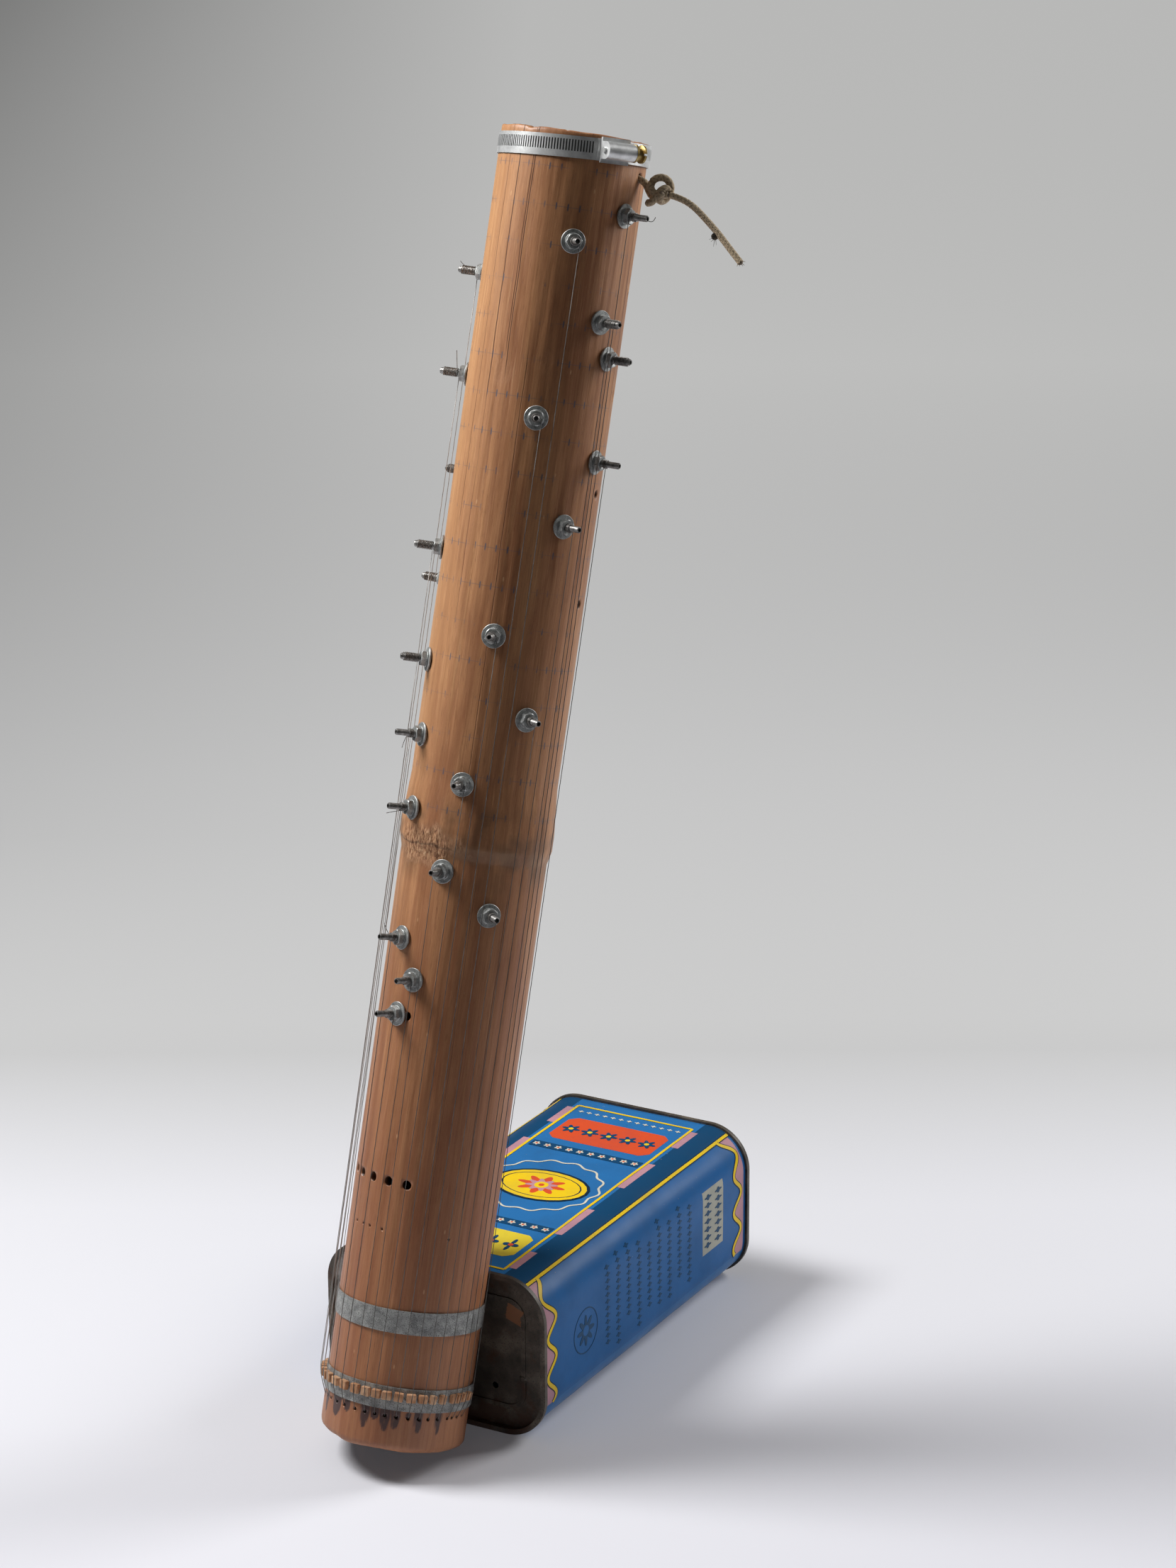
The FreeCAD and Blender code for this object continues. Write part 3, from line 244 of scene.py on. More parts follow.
def pole_faces(rows, columns):
    """Grid wrapped round its columns, with a fan to a pole at each end; the poles follow the grid's points."""
    first = np.arange(columns)
    last = first + (rows - 1) * columns
    count = rows * columns
    return [grid_faces(rows, columns, wrap_columns=True),
            np.stack([np.roll(first, -1), first, np.full(columns, count)], -1),
            np.stack([last, np.roll(last, -1), np.full(columns, count + 1)], -1)]


def joined(parts):
    """One array of points and one list of faces from several (points, faces) pairs."""
    starts = np.cumsum([0] + [len(points) for points, _ in parts])
    faces = [side + start for (_, sides), start in zip(parts, starts) for side in sides]
    return np.vstack([points for points, _ in parts]), faces


def make_piece(name, points, faces, sharp=None):
    """A mesh object from an array of points and a list of face arrays. Faces are smooth, or smooth only
    across edges below an angle in degrees."""
    points = np.asarray(points, float).reshape(-1, 3)
    loops = np.concatenate([part.reshape(-1) for part in faces])
    totals = np.concatenate([np.full(len(part), part.shape[1]) for part in faces])
    mesh = bpy.data.meshes.new(name)
    mesh.vertices.add(len(points))
    mesh.vertices.foreach_set("co", points.reshape(-1))
    mesh.loops.add(len(loops))
    mesh.loops.foreach_set("vertex_index", loops.astype(np.int32))
    mesh.polygons.add(len(totals))
    mesh.polygons.foreach_set("loop_start", (np.cumsum(totals) - totals).astype(np.int32))
    mesh.polygons.foreach_set("use_smooth", np.full(len(totals), True))
    mesh.update(calc_edges=True)
    mesh.validate()
    if sharp is not None:
        mesh.set_sharp_from_angle(angle=math.radians(sharp))
    piece = bpy.data.objects.new(name, mesh)
    bpy.context.scene.collection.objects.link(piece)
    return piece


def field(piece, name, values):
    """Store one number, or one colour, per vertex under a name that a material's Attribute node reads."""
    values = np.asarray(values, np.float32)
    layer = piece.data.attributes.new(name, "FLOAT" if values.ndim == 1 else "FLOAT_COLOR", "POINT")
    layer.data.foreach_set("value" if values.ndim == 1 else "color", values.ravel())


def vertices_of(mesh):
    """Vertex places of a mesh as an array."""
    places = np.empty(len(mesh.vertices) * 3)
    mesh.vertices.foreach_get("co", places)
    return places.reshape(-1, 3)


def spline_line(context, name, route, order=3, resolution=16):
    """Points along an open NURBS spline that has the route as its control points, read from the mesh of a
    curve with no bevel."""
    curve = bpy.data.curves.new(name, "CURVE")
    curve.dimensions = "3D"
    spline = curve.splines.new("NURBS")
    spline.points.add(len(route) - 1)
    spline.points.foreach_set("co", np.column_stack([route, np.ones(len(route))]).ravel())
    spline.order_u = order
    spline.use_endpoint_u = True
    curve.resolution_u = resolution
    line = bpy.data.objects.new(name, curve)
    context.scene.collection.objects.link(line)
    graph = context.evaluated_depsgraph_get()
    mesh = bpy.data.meshes.new_from_object(line.evaluated_get(graph), depsgraph=graph)
    points = vertices_of(mesh)
    bpy.data.meshes.remove(mesh)
    bpy.data.objects.remove(line, do_unlink=True)
    bpy.data.curves.remove(curve)
    return points


def evenly(line, step):
    """The same line with its points a step apart, by interpolation over its length."""
    way = np.concatenate([[0], np.cumsum(np.linalg.norm(np.diff(line, axis=0), axis=1))])
    marks = np.linspace(0, way[-1], max(2, int(round(way[-1] / step)) + 1))
    return np.stack([np.interp(marks, way, column) for column in line.T], -1), marks


def along_path(path, radii, reference, turns=8):
    """Closed tube: a circle of points at each path point, with radii one for all, one per path point or
    one per point of the circle. The circle's axes are the tangent crossed with a reference direction that
    is never along it, and that cross product crossed with the tangent."""
    tangent = np.gradient(path, axis=0)
    tangent /= np.linalg.norm(tangent, axis=1)[:, None]
    side = np.cross(tangent, np.broadcast_to(reference, path.shape))
    side /= np.linalg.norm(side, axis=1)[:, None]
    normal = np.cross(side, tangent)
    turn = np.arange(turns) / turns * 2 * math.pi
    ring = np.cos(turn)[None, :, None] * normal[:, None] + np.sin(turn)[None, :, None] * side[:, None]
    radii = np.asarray(radii, float)
    radii = np.broadcast_to(radii[:, None] if radii.ndim == 1 else radii, (len(path), turns))
    points = (path[:, None] + ring * radii[..., None]).reshape(-1, 3)
    return np.vstack([points, path[0], path[-1]]), pole_faces(len(path), turns)


def braided(marks, radius):
    """Radii of a braided cord: two families of strands, u = 2 turns / pi + way / lay and v = the same with a
    minus, with a lay of 2.6 mm. Family u is on top where the whole parts of u and v add up to an even number,
    and a strand's height is the root of |cos(pi u)| or |cos(pi v)|. The radius goes from 0.88 of the cord's
    in the gaps to 1.04 of it on the strands."""
    turn = np.arange(32)[None, :] / 8
    way = marks[:, None] / (2.6 * MM)
    u, v = turn + way, turn - way
    over = (np.floor(u + 0.5) + np.floor(v + 0.5)) % 2 == 0
    strand = np.sqrt(np.abs(np.cos(math.pi * np.where(over, u, v))))
    ends = np.sqrt(np.clip(np.minimum(marks, marks[-1] - marks) / (1.2 * MM), 0.02, 1))
    return radius * ends[:, None] * (BRAID_GAP + BRAID_STRAND * strand)


def turned(profile, turns, origin, rotation):
    """Closed shape turned about a local Z axis. Profile is rows of radius, height and, for a hexagon, the
    distance of its flats: the radius is then no more than that distance over the cosine of the angle from
    the flat's middle. A profile that starts on the axis ends there too, in poles; another closes on
    itself."""
    profile = np.asarray(profile, float)
    angle = np.arange(turns) / turns * 2 * math.pi
    poled = profile[0, 0] == 0
    rows = profile[1:-1] if poled else profile
    flats = rows[:, 2:3] if profile.shape[1] > 2 else np.full((len(rows), 1), np.inf)
    radius = np.minimum(rows[:, 0:1], flats / np.cos((angle + math.pi / 6) % (math.pi / 3) - math.pi / 6))
    points = np.stack([radius * np.cos(angle), radius * np.sin(angle),
                       np.broadcast_to(rows[:, 1:2], radius.shape)], -1).reshape(-1, 3)
    if poled:
        points = np.vstack([points, (0, 0, profile[0, 1]), (0, 0, profile[-1, 1])])
    faces = pole_faces(len(rows), turns) if poled else [grid_faces(len(rows), turns, True, True)]
    return points @ np.asarray(rotation).T + origin, faces


def bevelled(corners, bevel):
    """Points and faces of bevelled blocks from their eight corners each, as an array (block, x side, y
    side, z side, 3). Each corner gives one point on each of its three faces, moved from the corner by
    the bevel along both edges of that face."""
    toward = [np.flip(corners, axis) - corners for axis in (1, 2, 3)]
    toward = [way / np.linalg.norm(way, axis=-1, keepdims=True) * bevel for way in toward]
    points = np.stack([corners + toward[1] + toward[2], corners + toward[2] + toward[0],
                       corners + toward[0] + toward[1]], -2).reshape(-1, 3)
    index = np.arange(len(points)).reshape(*corners.shape[:-1], 3)
    quads = []
    for a in range(3):
        b, c = (a + 1) % 3, (a + 2) % 3
        order = np.moveaxis(index, (a + 1, b + 1, c + 1), (1, 2, 3))
        for side in (0, 1):
            face = order[:, side, :, :, a]
            quads.append(np.stack([face[:, 0, 0], face[:, 0, 1], face[:, 1, 1], face[:, 1, 0]], -1))
            for other in (0, 1):
                edge = order[:, :, side, other]
                quads.append(np.stack([edge[:, 0, b], edge[:, 1, b], edge[:, 1, c], edge[:, 0, c]], -1))
    middle = points.reshape(len(corners), -1, 3).mean(axis=1)
    faces = []
    for part in (np.concatenate(quads), index.reshape(-1, 3)):
        first = points[part[:, 0]]
        normal = np.cross(points[part[:, 1]] - first, points[part[:, 2]] - first)
        inward = (normal * (first - middle[part[:, 0] // 24])).sum(axis=1) < 0
        part[inward] = part[inward, ::-1]
        faces.append(part)
    return points, faces


def settle(piece):
    """Apply a piece's modifiers to its mesh."""
    graph = bpy.context.evaluated_depsgraph_get()
    mesh = bpy.data.meshes.new_from_object(piece.evaluated_get(graph), depsgraph=graph)
    piece.modifiers.clear()
    old = piece.data
    piece.data = mesh
    bpy.data.meshes.remove(old)


def cut_away(piece, cutter):
    """Subtract a closed cutter from a piece, apply the result and delete the cutter."""
    modifier = piece.modifiers.new("Cut", "BOOLEAN")
    modifier.operation = "DIFFERENCE"
    modifier.object = cutter
    modifier.solver = "MANIFOLD"
    settle(piece)
    bpy.data.objects.remove(cutter, do_unlink=True)


def dress(piece, finish, body="root", replaces=()):
    """Give a piece its material, its body and the nodes that it stands for."""
    piece.data.materials.clear()
    piece.data.materials.append(finish)
    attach(piece, body)
    if replaces:
        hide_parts(*replaces)


def finish_node(name, finish):
    """Assign a material to a carried-over node."""
    for slot in bpy.data.objects[name].material_slots:
        slot.material = finish


def node(tree, kind, *inputs, out=0, stops=(), **options):
    """Add a node and return one of its outputs. Options that start with a small letter are its settings;
    inputs go to its sockets in order and the other options by name, as values or as links from outputs;
    stops are a ramp's places and colours."""
    made = tree.nodes.new("ShaderNode" + kind)
    for key, value in options.items():
        if key[0].islower():
            setattr(made, key, value)
    sockets = [socket for socket in made.inputs if socket.enabled]
    named = [(next(socket for socket in sockets if socket.name == key), value)
             for key, value in options.items() if key[0].isupper()]
    for socket, value in [*zip(sockets, inputs), *named]:
        if isinstance(value, bpy.types.NodeSocket):
            tree.links.new(value, socket)
        else:
            socket.default_value = value
    for place, _ in stops[1:-1]:
        made.color_ramp.elements.new(place)
    for mark, (place, colour) in zip(made.color_ramp.elements if stops else (), stops):
        mark.position, mark.color = place, linear(colour)
    outputs = [socket for socket in made.outputs if socket.enabled]
    return outputs[out] if isinstance(out, int) else made.outputs[out]


def new_material(name, **sockets):
    """A material with one shader whose own sockets hold the numbers; returns it, its tree and its shader."""
    made = bpy.data.materials.new(name)
    made.use_nodes = True
    shader = made.node_tree.nodes["Principled BSDF"]
    for key, value in sockets.items():
        shader.inputs[key.replace("_", " ")].default_value = value
    return made, made.node_tree, shader


def between(tree, value, low, high, soft, most=1.0):
    """As much as most where a value lies between low and high, falling to 0 over soft on either side."""
    up = node(tree, "MapRange", value, low - soft, low, 0.0, most)
    down = node(tree, "MapRange", value, high, high + soft, 1.0, 0.0)
    return node(tree, "Math", up, down, operation="MULTIPLY")


def tinted(tree, below, above, value, low, high, most=1.0):
    """A colour laid over another by as much as most, which rises from 0 as a value goes from low to high."""
    amount = node(tree, "MapRange", value, low, high, 0.0, most)
    return node(tree, "Mix", amount, below, above, data_type="RGBA")


def overlaid(tree, below, above, *masks):
    """A colour laid over another by the product of masks."""
    amount = masks[0]
    for mask in masks[1:]:
        amount = node(tree, "Math", amount, mask, operation="MULTIPLY")
    return node(tree, "Mix", amount, below, above, data_type="RGBA")


def tube_pattern(tree, sizes):
    """Object coordinates in the tube's own frame, q = R'(p - foot), with the angle atan2(x, -y) in degrees,
    the reach and the height in millimetres."""
    turn, foot = tube_axes(sizes)
    inverse = Matrix(turn.tolist()).transposed()
    place = node(tree, "Mapping", node(tree, "TexCoord", out="Object"), Location=-(inverse @ Vector(foot)),
                 Rotation=inverse.to_euler("XYZ"))
    x = node(tree, "SeparateXYZ", place, out="X")
    y = node(tree, "SeparateXYZ", place, out="Y")
    height = node(tree, "Math", node(tree, "SeparateXYZ", place, out="Z"), 1000.0, operation="MULTIPLY")
    turned_by = node(tree, "Math", x, node(tree, "Math", y, -1.0, operation="MULTIPLY"), operation="ARCTAN2")
    angle = node(tree, "Math", turned_by, 180 / math.pi, operation="MULTIPLY")
    flat = node(tree, "CombineXYZ", x, y, 0.0)
    reach = node(tree, "Math", node(tree, "VectorMath", flat, operation="LENGTH"), 1000.0, operation="MULTIPLY")
    return place, angle, reach, height


def bamboo_material(sizes, colours):
    """Bamboo culm, scraped of its skin and handled for years. The eye sees fibres along the culm, amber and
    brown bands a few millimetres wide, a few long dark grooves and a soft sheen; pencil dashes in a grid are
    left from the marking out. A painted highlight lightens the upper left side, and painted shade darkens the
    walls of the holes and the deepest dents. Fibres are 0.3 mm wide and are drawn 1 mm wide, so that they show."""
    made, tree, shader = new_material("scraped_bamboo_culm", Specular_IOR_Level=0.5)
    place, angle, reach, height = tube_pattern(tree, sizes)
    long = sizes.length / MM

    def drawn_out(share, **settings):
        """Noise whose scale along the culm is a share of its scale across it."""
        return node(tree, "TexNoise", node(tree, "Mapping", place, Scale=(1, 1, share)), **settings)

    def off_line(value, start, step):
        """Distance from the nearest of evenly spaced lines, as a share of their step."""
        shifted = node(tree, "Math", value, -start, operation="ADD")
        return node(tree, "Math", node(tree, "Math", shifted, step, operation="DIVIDE"), 0.5, operation="PINGPONG")

    fibre = drawn_out(0.022, Scale=1100, Detail=4, Roughness=0.65)
    streak = drawn_out(0.035, Scale=330, Detail=5, Roughness=0.65, Distortion=0.15)
    broad = drawn_out(0.12, Scale=70, Detail=5, Roughness=0.55, Distortion=0.5)
    speck = drawn_out(0.07, Scale=1900, Detail=3, Roughness=0.7)
    cloud = node(tree, "TexNoise", place, Scale=13, Detail=3)
    amber = tinted(tree, tuple(colours.bamboo), tuple(colours.bamboo_dark), broad, 0.62, 0.36, 0.75)
    for tint, value, low, high, most in (
            ("cf9c68", streak, 0.5, 0.72, 0.33), ("80502f", streak, 0.46, 0.30, 0.4),
            ("774a30", fibre, 0.62, 0.34, 0.32), ("d9ab7a", fibre, 0.60, 0.74, 0.35),
            ("87573a", cloud, 0.5, 0.75, 0.4), ("6b3d22", speck, 0.44, 0.3, 0.4),
            ("e0b588", speck, 0.62, 0.78, 0.3), ("8c4c33", height, 420.0, 120.0, 0.36)):
        amber = tinted(tree, amber, linear(tint), value, low, high, most)
    # Painted highlight: a paler tone on the upper left side of the tube, from 5 to 50 degrees left of the front line
    # and rising from 200 to 480 mm
    amber = overlaid(tree, amber, linear("e2b280"), node(tree, "MapRange", angle, -5.0, -50.0, 0.0, 0.34),
                     node(tree, "MapRange", height, 200.0, 480.0, 0.0, 1.0))

    wander = node(tree, "TexNoise", node(tree, "Mapping", place, Scale=(0.2, 0.2, 1)), Scale=22)
    bent = node(tree, "Math", angle, node(tree, "MapRange", wander, 0.3, 0.7, -0.5, 0.5), operation="ADD")
    grooves = None
    for at, half, low, high, most in ((-15.2, 0.3, 632, 790, 0.8), (-15.0, 0.2, 500, 632, 0.4),
                                      (-2.4, 0.22, 662, 780, 0.6), (-0.8, 0.24, 650, 790, 0.7),
                                      (-27, 0.14, 560, 786, 0.5), (16, 0.14, 400, 650, 0.5),
                                      (60, 0.22, 150, 330, 0.6), (71, 0.2, 180, 350, 0.6),
                                      (101, 0.26, 640, 760, 0.85), (33, 0.12, 120, 340, 0.4)):
        line = node(tree, "Math", between(tree, bent, at - half, at + half, 0.3, most),
                    between(tree, height, low, high, 12), operation="MULTIPLY")
        grooves = node(tree, "Math", grooves, line, operation="MAXIMUM") if grooves else line
    amber = overlaid(tree, amber, linear("3d2316"), grooves)

    faded = node(tree, "MapRange", node(tree, "TexNoise", place, Scale=75, Detail=2), 0.42, 0.6, 0.0, 0.85)
    column, row = off_line(angle, -96.3, 9.05), off_line(height, 385.0, 22.3)
    dash = node(tree, "Math", node(tree, "MapRange", column, 0.045, 0.075, 1.0, 0.0),
                node(tree, "MapRange", row, 0.07, 0.11, 1.0, 0.0), operation="MULTIPLY")
    ruled = node(tree, "MapRange", row, 0.006, 0.016, 0.45, 0.0)
    amber = overlaid(tree, amber, linear("4d5563"), node(tree, "Math", dash, ruled, operation="MAXIMUM"),
                     between(tree, height, 376, 768, 3), faded)

    edge = drawn_out(0.2, Scale=500, Detail=3)
    grit_line = node(tree, "TexNoise", place, Scale=55, Detail=4)
    stain = node(tree, "Math", node(tree, "Attribute", attribute_name="stain", out="Fac"),
                 node(tree, "MapRange", edge, 0.3, 0.7, -0.34, 0.3), operation="ADD")
    amber = tinted(tree, amber, linear("38282a"), stain, 0.22, 0.8, 0.9)
    smudged = node(tree, "MapRange", node(tree, "TexNoise", place, Scale=60, Detail=5), 0.42, 0.62, 0.0, 0.6)
    amber = overlaid(tree, amber, linear("6f5138"), between(tree, height, 352, 380, 14), smudged)
    amber = overlaid(tree, amber, linear("b08a64"), between(tree, height, 358.5, 364, 3.5, 0.42),
                     node(tree, "MapRange", grit_line, 0.4, 0.62, 0.1, 1.0))
    rough = node(tree, "Attribute", attribute_name="scraped", out="Fac")
    torn = node(tree, "Math", height, node(tree, "MapRange", grit_line, 0.3, 0.7, -2.5, 2.5), operation="ADD")
    grit = drawn_out(0.3, Scale=900, Detail=6, Roughness=0.7)
    pale = node(tree, "ValToRGB", grit, stops=((0.34, "55331f"), (0.44, "8f603f"), (0.54, "c09068"),
                                               (0.68, "dcb892")))
    amber = overlaid(tree, amber, pale, rough)
    amber = overlaid(tree, amber, linear("38231a"), between(tree, torn, 362.6, 363.0, 0.9, 0.5),
                     between(tree, angle, -50, 6, 14))
    scuff = node(tree, "TexVoronoi", node(tree, "Mapping", place, Rotation=(0.3, 0.5, 0.2), Scale=(1, 1, 0.35)),
                 Scale=95)
    amber = tinted(tree, amber, linear("dcb083"), scuff, 0.06, 0.03, 0.5)
    # Painted shade: near-black where the surface lies more than 0.65 mm inside the tube's outside, on the walls of the
    # holes and in the deepest dents, away from the scraped patch and the ends
    amber = overlaid(tree, amber, linear("2a1a12"), node(tree, "MapRange", reach, 43.15, 42.7, 0.0, 0.85),
                     between(tree, height, 12, 776, 2), node(tree, "Math", 1.0, rough, operation="SUBTRACT"))
    amber = overlaid(tree, amber, node(tree, "ValToRGB", streak, stops=((0.3, "5d4029"), (0.7, "8a6642"))),
                     node(tree, "Attribute", attribute_name="inside", out="Fac"))
    amber = overlaid(tree, amber, linear("7a3f24"), node(tree, "MapRange", height, long - 5, long, 0.0, 0.3),
                     node(tree, "MapRange", cloud, 0.35, 0.6, 0.4, 1.0))
    bundle = node(tree, "MapRange", node(tree, "TexVoronoi", place, Scale=900), 0.16, 0.3, 0.8, 0.0)
    amber = overlaid(tree, amber, linear("3f2517"), between(tree, height, long - 0.5, long + 4, 1.2), bundle)
    tree.links.new(amber, shader.inputs["Base Color"])

    gloss = node(tree, "MapRange", fibre, 0.35, 0.68, 0.36, 0.54)
    tree.links.new(node(tree, "Math", gloss, node(tree, "Math", rough, 0.35, operation="MULTIPLY"),
                        operation="ADD"), shader.inputs["Roughness"])
    relief = node(tree, "Math", fibre, node(tree, "Math", streak, 1.6, operation="MULTIPLY"), operation="ADD")
    relief = node(tree, "Math", relief, node(tree, "Math", grooves, 3.0, operation="MULTIPLY"), operation="SUBTRACT")
    relief = node(tree, "Math", relief, node(tree, "Math", node(tree, "Math", grit, rough, operation="MULTIPLY"),
                                             12.0, operation="MULTIPLY"), operation="ADD")
    tree.links.new(node(tree, "Bump", Height=relief, Distance=0.08 * MM, Strength=1.0), shader.inputs["Normal"])
    return made


def sheet_metal(name, dark, base, light, metallic, roughness, patch, grain, pits, extra=None):
    """Zinc-coated or rolled metal: clouds of a patch size and fine grain of a grain size, both in metres,
    with more dark pits for a higher number. Extra is a function that lays more over its colour."""
    made, tree, shader = new_material(name, Metallic=metallic)
    place = node(tree, "TexCoord", out="Object")
    cloud = node(tree, "TexNoise", place, Scale=1 / patch, Detail=4, Roughness=0.6)
    fine = node(tree, "TexNoise", place, Scale=1 / grain, Detail=4, Roughness=0.7)
    colour = node(tree, "ValToRGB", cloud, stops=((0.34, dark), (0.5, base), (0.66, light)))
    pit = node(tree, "MapRange", fine, 0.28 + pits * 0.1, 0.34 + pits * 0.1, 0.75, 0.0)
    colour = overlaid(tree, colour, linear("2c2c2b"), pit)
    if extra:
        colour = extra(tree, colour)
    tree.links.new(colour, shader.inputs["Base Color"])
    tree.links.new(node(tree, "MapRange", fine, 0.3, 0.7, roughness - 0.07, roughness + 0.12),
                   shader.inputs["Roughness"])
    tree.links.new(node(tree, "Bump", Height=fine, Distance=grain * 0.12, Strength=0.6), shader.inputs["Normal"])
    return made


def wood_material():
    """Offcuts of pinkish hardwood, split with a knife. The eye sees dull tan faces with fine grain, darker
    on end grain, and no shine."""
    made, tree, shader = new_material("knife_cut_hardwood", Roughness=0.78, Specular_IOR_Level=0.3)
    place = node(tree, "TexCoord", out="Object")
    grain = node(tree, "TexNoise", node(tree, "Mapping", place, Rotation=(0.26, 0, 0), Scale=(1, 1, 0.12)), Scale=1500,
                 Detail=4, Roughness=0.65)
    tone = node(tree, "TexNoise", place, Scale=110, Detail=2)
    colour = node(tree, "ValToRGB", tone, stops=((0.35, "b5845f"), (0.5, "cb9c77"), (0.65, "ddb794")))
    colour = tinted(tree, colour, linear("7d4f33"), grain, 0.6, 0.35, 0.5)
    tree.links.new(colour, shader.inputs["Base Color"])
    tree.links.new(node(tree, "Bump", Height=grain, Distance=0.15 * MM, Strength=0.8), shader.inputs["Normal"])
    return made


def cord_material(name, light, dark):
    """Braided natural fibre, greyed by dust. The eye sees matt beige strands with darker gaps between them
    and a soft fuzz on the outline; the darker gaps are painted shade, from each point's strand height."""
    made, tree, shader = new_material(name, Roughness=0.92, Sheen_Weight=0.25, Specular_IOR_Level=0.2)
    place = node(tree, "TexCoord", out="Object")
    strand = node(tree, "Attribute", attribute_name="strand", out="Fac")
    dust = node(tree, "TexNoise", place, Scale=170, Detail=3)
    fuzz = node(tree, "TexNoise", place, Scale=2600, Detail=3, Roughness=0.7)
    # Painted shade: the dark colour in the gaps between the strands, the light one on their tops
    colour = tinted(tree, dark, light, strand, 0.25, 0.8, 1.0)
    colour = tinted(tree, colour, linear("a8977c"), dust, 0.45, 0.7, 0.4)
    colour = tinted(tree, colour, linear("80705a"), fuzz, 0.6, 0.35, 0.25)
    tree.links.new(colour, shader.inputs["Base Color"])
    tree.links.new(node(tree, "Bump", Height=fuzz, Distance=0.12 * MM, Strength=0.7), shader.inputs["Normal"])
    return made


def tinplate_material(name, ground):
    """Tinplate printed by lithography and varnished. The eye sees flat strong colours under a clear gloss,
    with small dark chips and rubbed places, more of them along the rounded edges. A piece's ink attribute
    holds its print, and the ground shows where there is none."""
    made, tree, shader = new_material(name, Specular_IOR_Level=0.12)
    place = node(tree, "TexCoord", out="Object")
    colour = ground if ground else node(tree, "Attribute", attribute_name="ink", out="Color")
    tone = node(tree, "TexNoise", place, Scale=30, Detail=5, Roughness=0.6)
    colour = tinted(tree, colour, linear("27405c"), tone, 0.45, 0.75, 0.28)
    rub = node(tree, "TexNoise", node(tree, "Mapping", place, Scale=(1, 0.35, 1)), Scale=260, Detail=5, Roughness=0.7)
    edge = node(tree, "Math", between(tree, node(tree, "SeparateXYZ", place, out="X"), 0.060, 0.0745, 0.006),
                between(tree, node(tree, "SeparateXYZ", place, out="Z"), 0.090, 0.104, 0.004), operation="MULTIPLY")
    level = node(tree, "Math", rub, node(tree, "Math", edge, 0.035, operation="MULTIPLY"), operation="ADD")
    colour = tinted(tree, colour, linear("3a332c"), level, 0.705, 0.74, 0.85)
    fleck = node(tree, "TexNoise", place, Scale=700, Detail=2)
    colour = tinted(tree, colour, linear("9b978a"), fleck, 0.74, 0.78, 0.6)
    tree.links.new(colour, shader.inputs["Base Color"])
    tree.links.new(node(tree, "MapRange", tone, 0.3, 0.7, 0.3, 0.44), shader.inputs["Roughness"])
    tree.links.new(node(tree, "Bump", Height=tone, Distance=0.25 * MM, Strength=0.5), shader.inputs["Normal"])
    return made


def rust_and_painted_light(tree, colour):
    """Bare tinplate left to rust: a pale scraped mark on the near end, rust that grows towards the floor, and
    a painted highlight that makes the recessed end panel near-white on the left."""
    place = node(tree, "TexCoord", out="Object")
    x, z = node(tree, "SeparateXYZ", place, out="X"), node(tree, "SeparateXYZ", place, out="Z")
    cloud = node(tree, "TexNoise", place, Scale=55, Detail=5, Roughness=0.65)
    low = node(tree, "MapRange", z, 0.0, 0.03, 0.16, 0.0)
    rust = node(tree, "MapRange", node(tree, "Math", cloud, low, operation="ADD"), 0.56, 0.68, 0.0, 0.7)
    colour = overlaid(tree, colour, linear("4a2c1a"), rust)
    # Painted highlight: the left part of the recessed end panel is near-white, standing in for light that the rim would
    # shade
    colour = overlaid(tree, colour, linear("dededa"), node(tree, "MapRange", x, -0.036, -0.058, 0.0, 0.9),
                      node(tree, "MapRange", cloud, 0.4, 0.55, 0.4, 1.0),
                      node(tree, "MapRange", node(tree, "SeparateXYZ", place, out="Y"), 0.0006, 0.0014, 0.0, 1.0))
    warped = node(tree, "Math", x, node(tree, "MapRange", cloud, 0.3, 0.7, -0.003, 0.003), operation="ADD")
    slant = node(tree, "Math", z, node(tree, "Math", x, 0.35, operation="MULTIPLY"), operation="ADD")
    return overlaid(tree, colour, linear("8f6040"), between(tree, warped, 0.048, 0.0585, 0.0004, 0.85),
                    between(tree, slant, 0.0925, 0.1035, 0.0004))


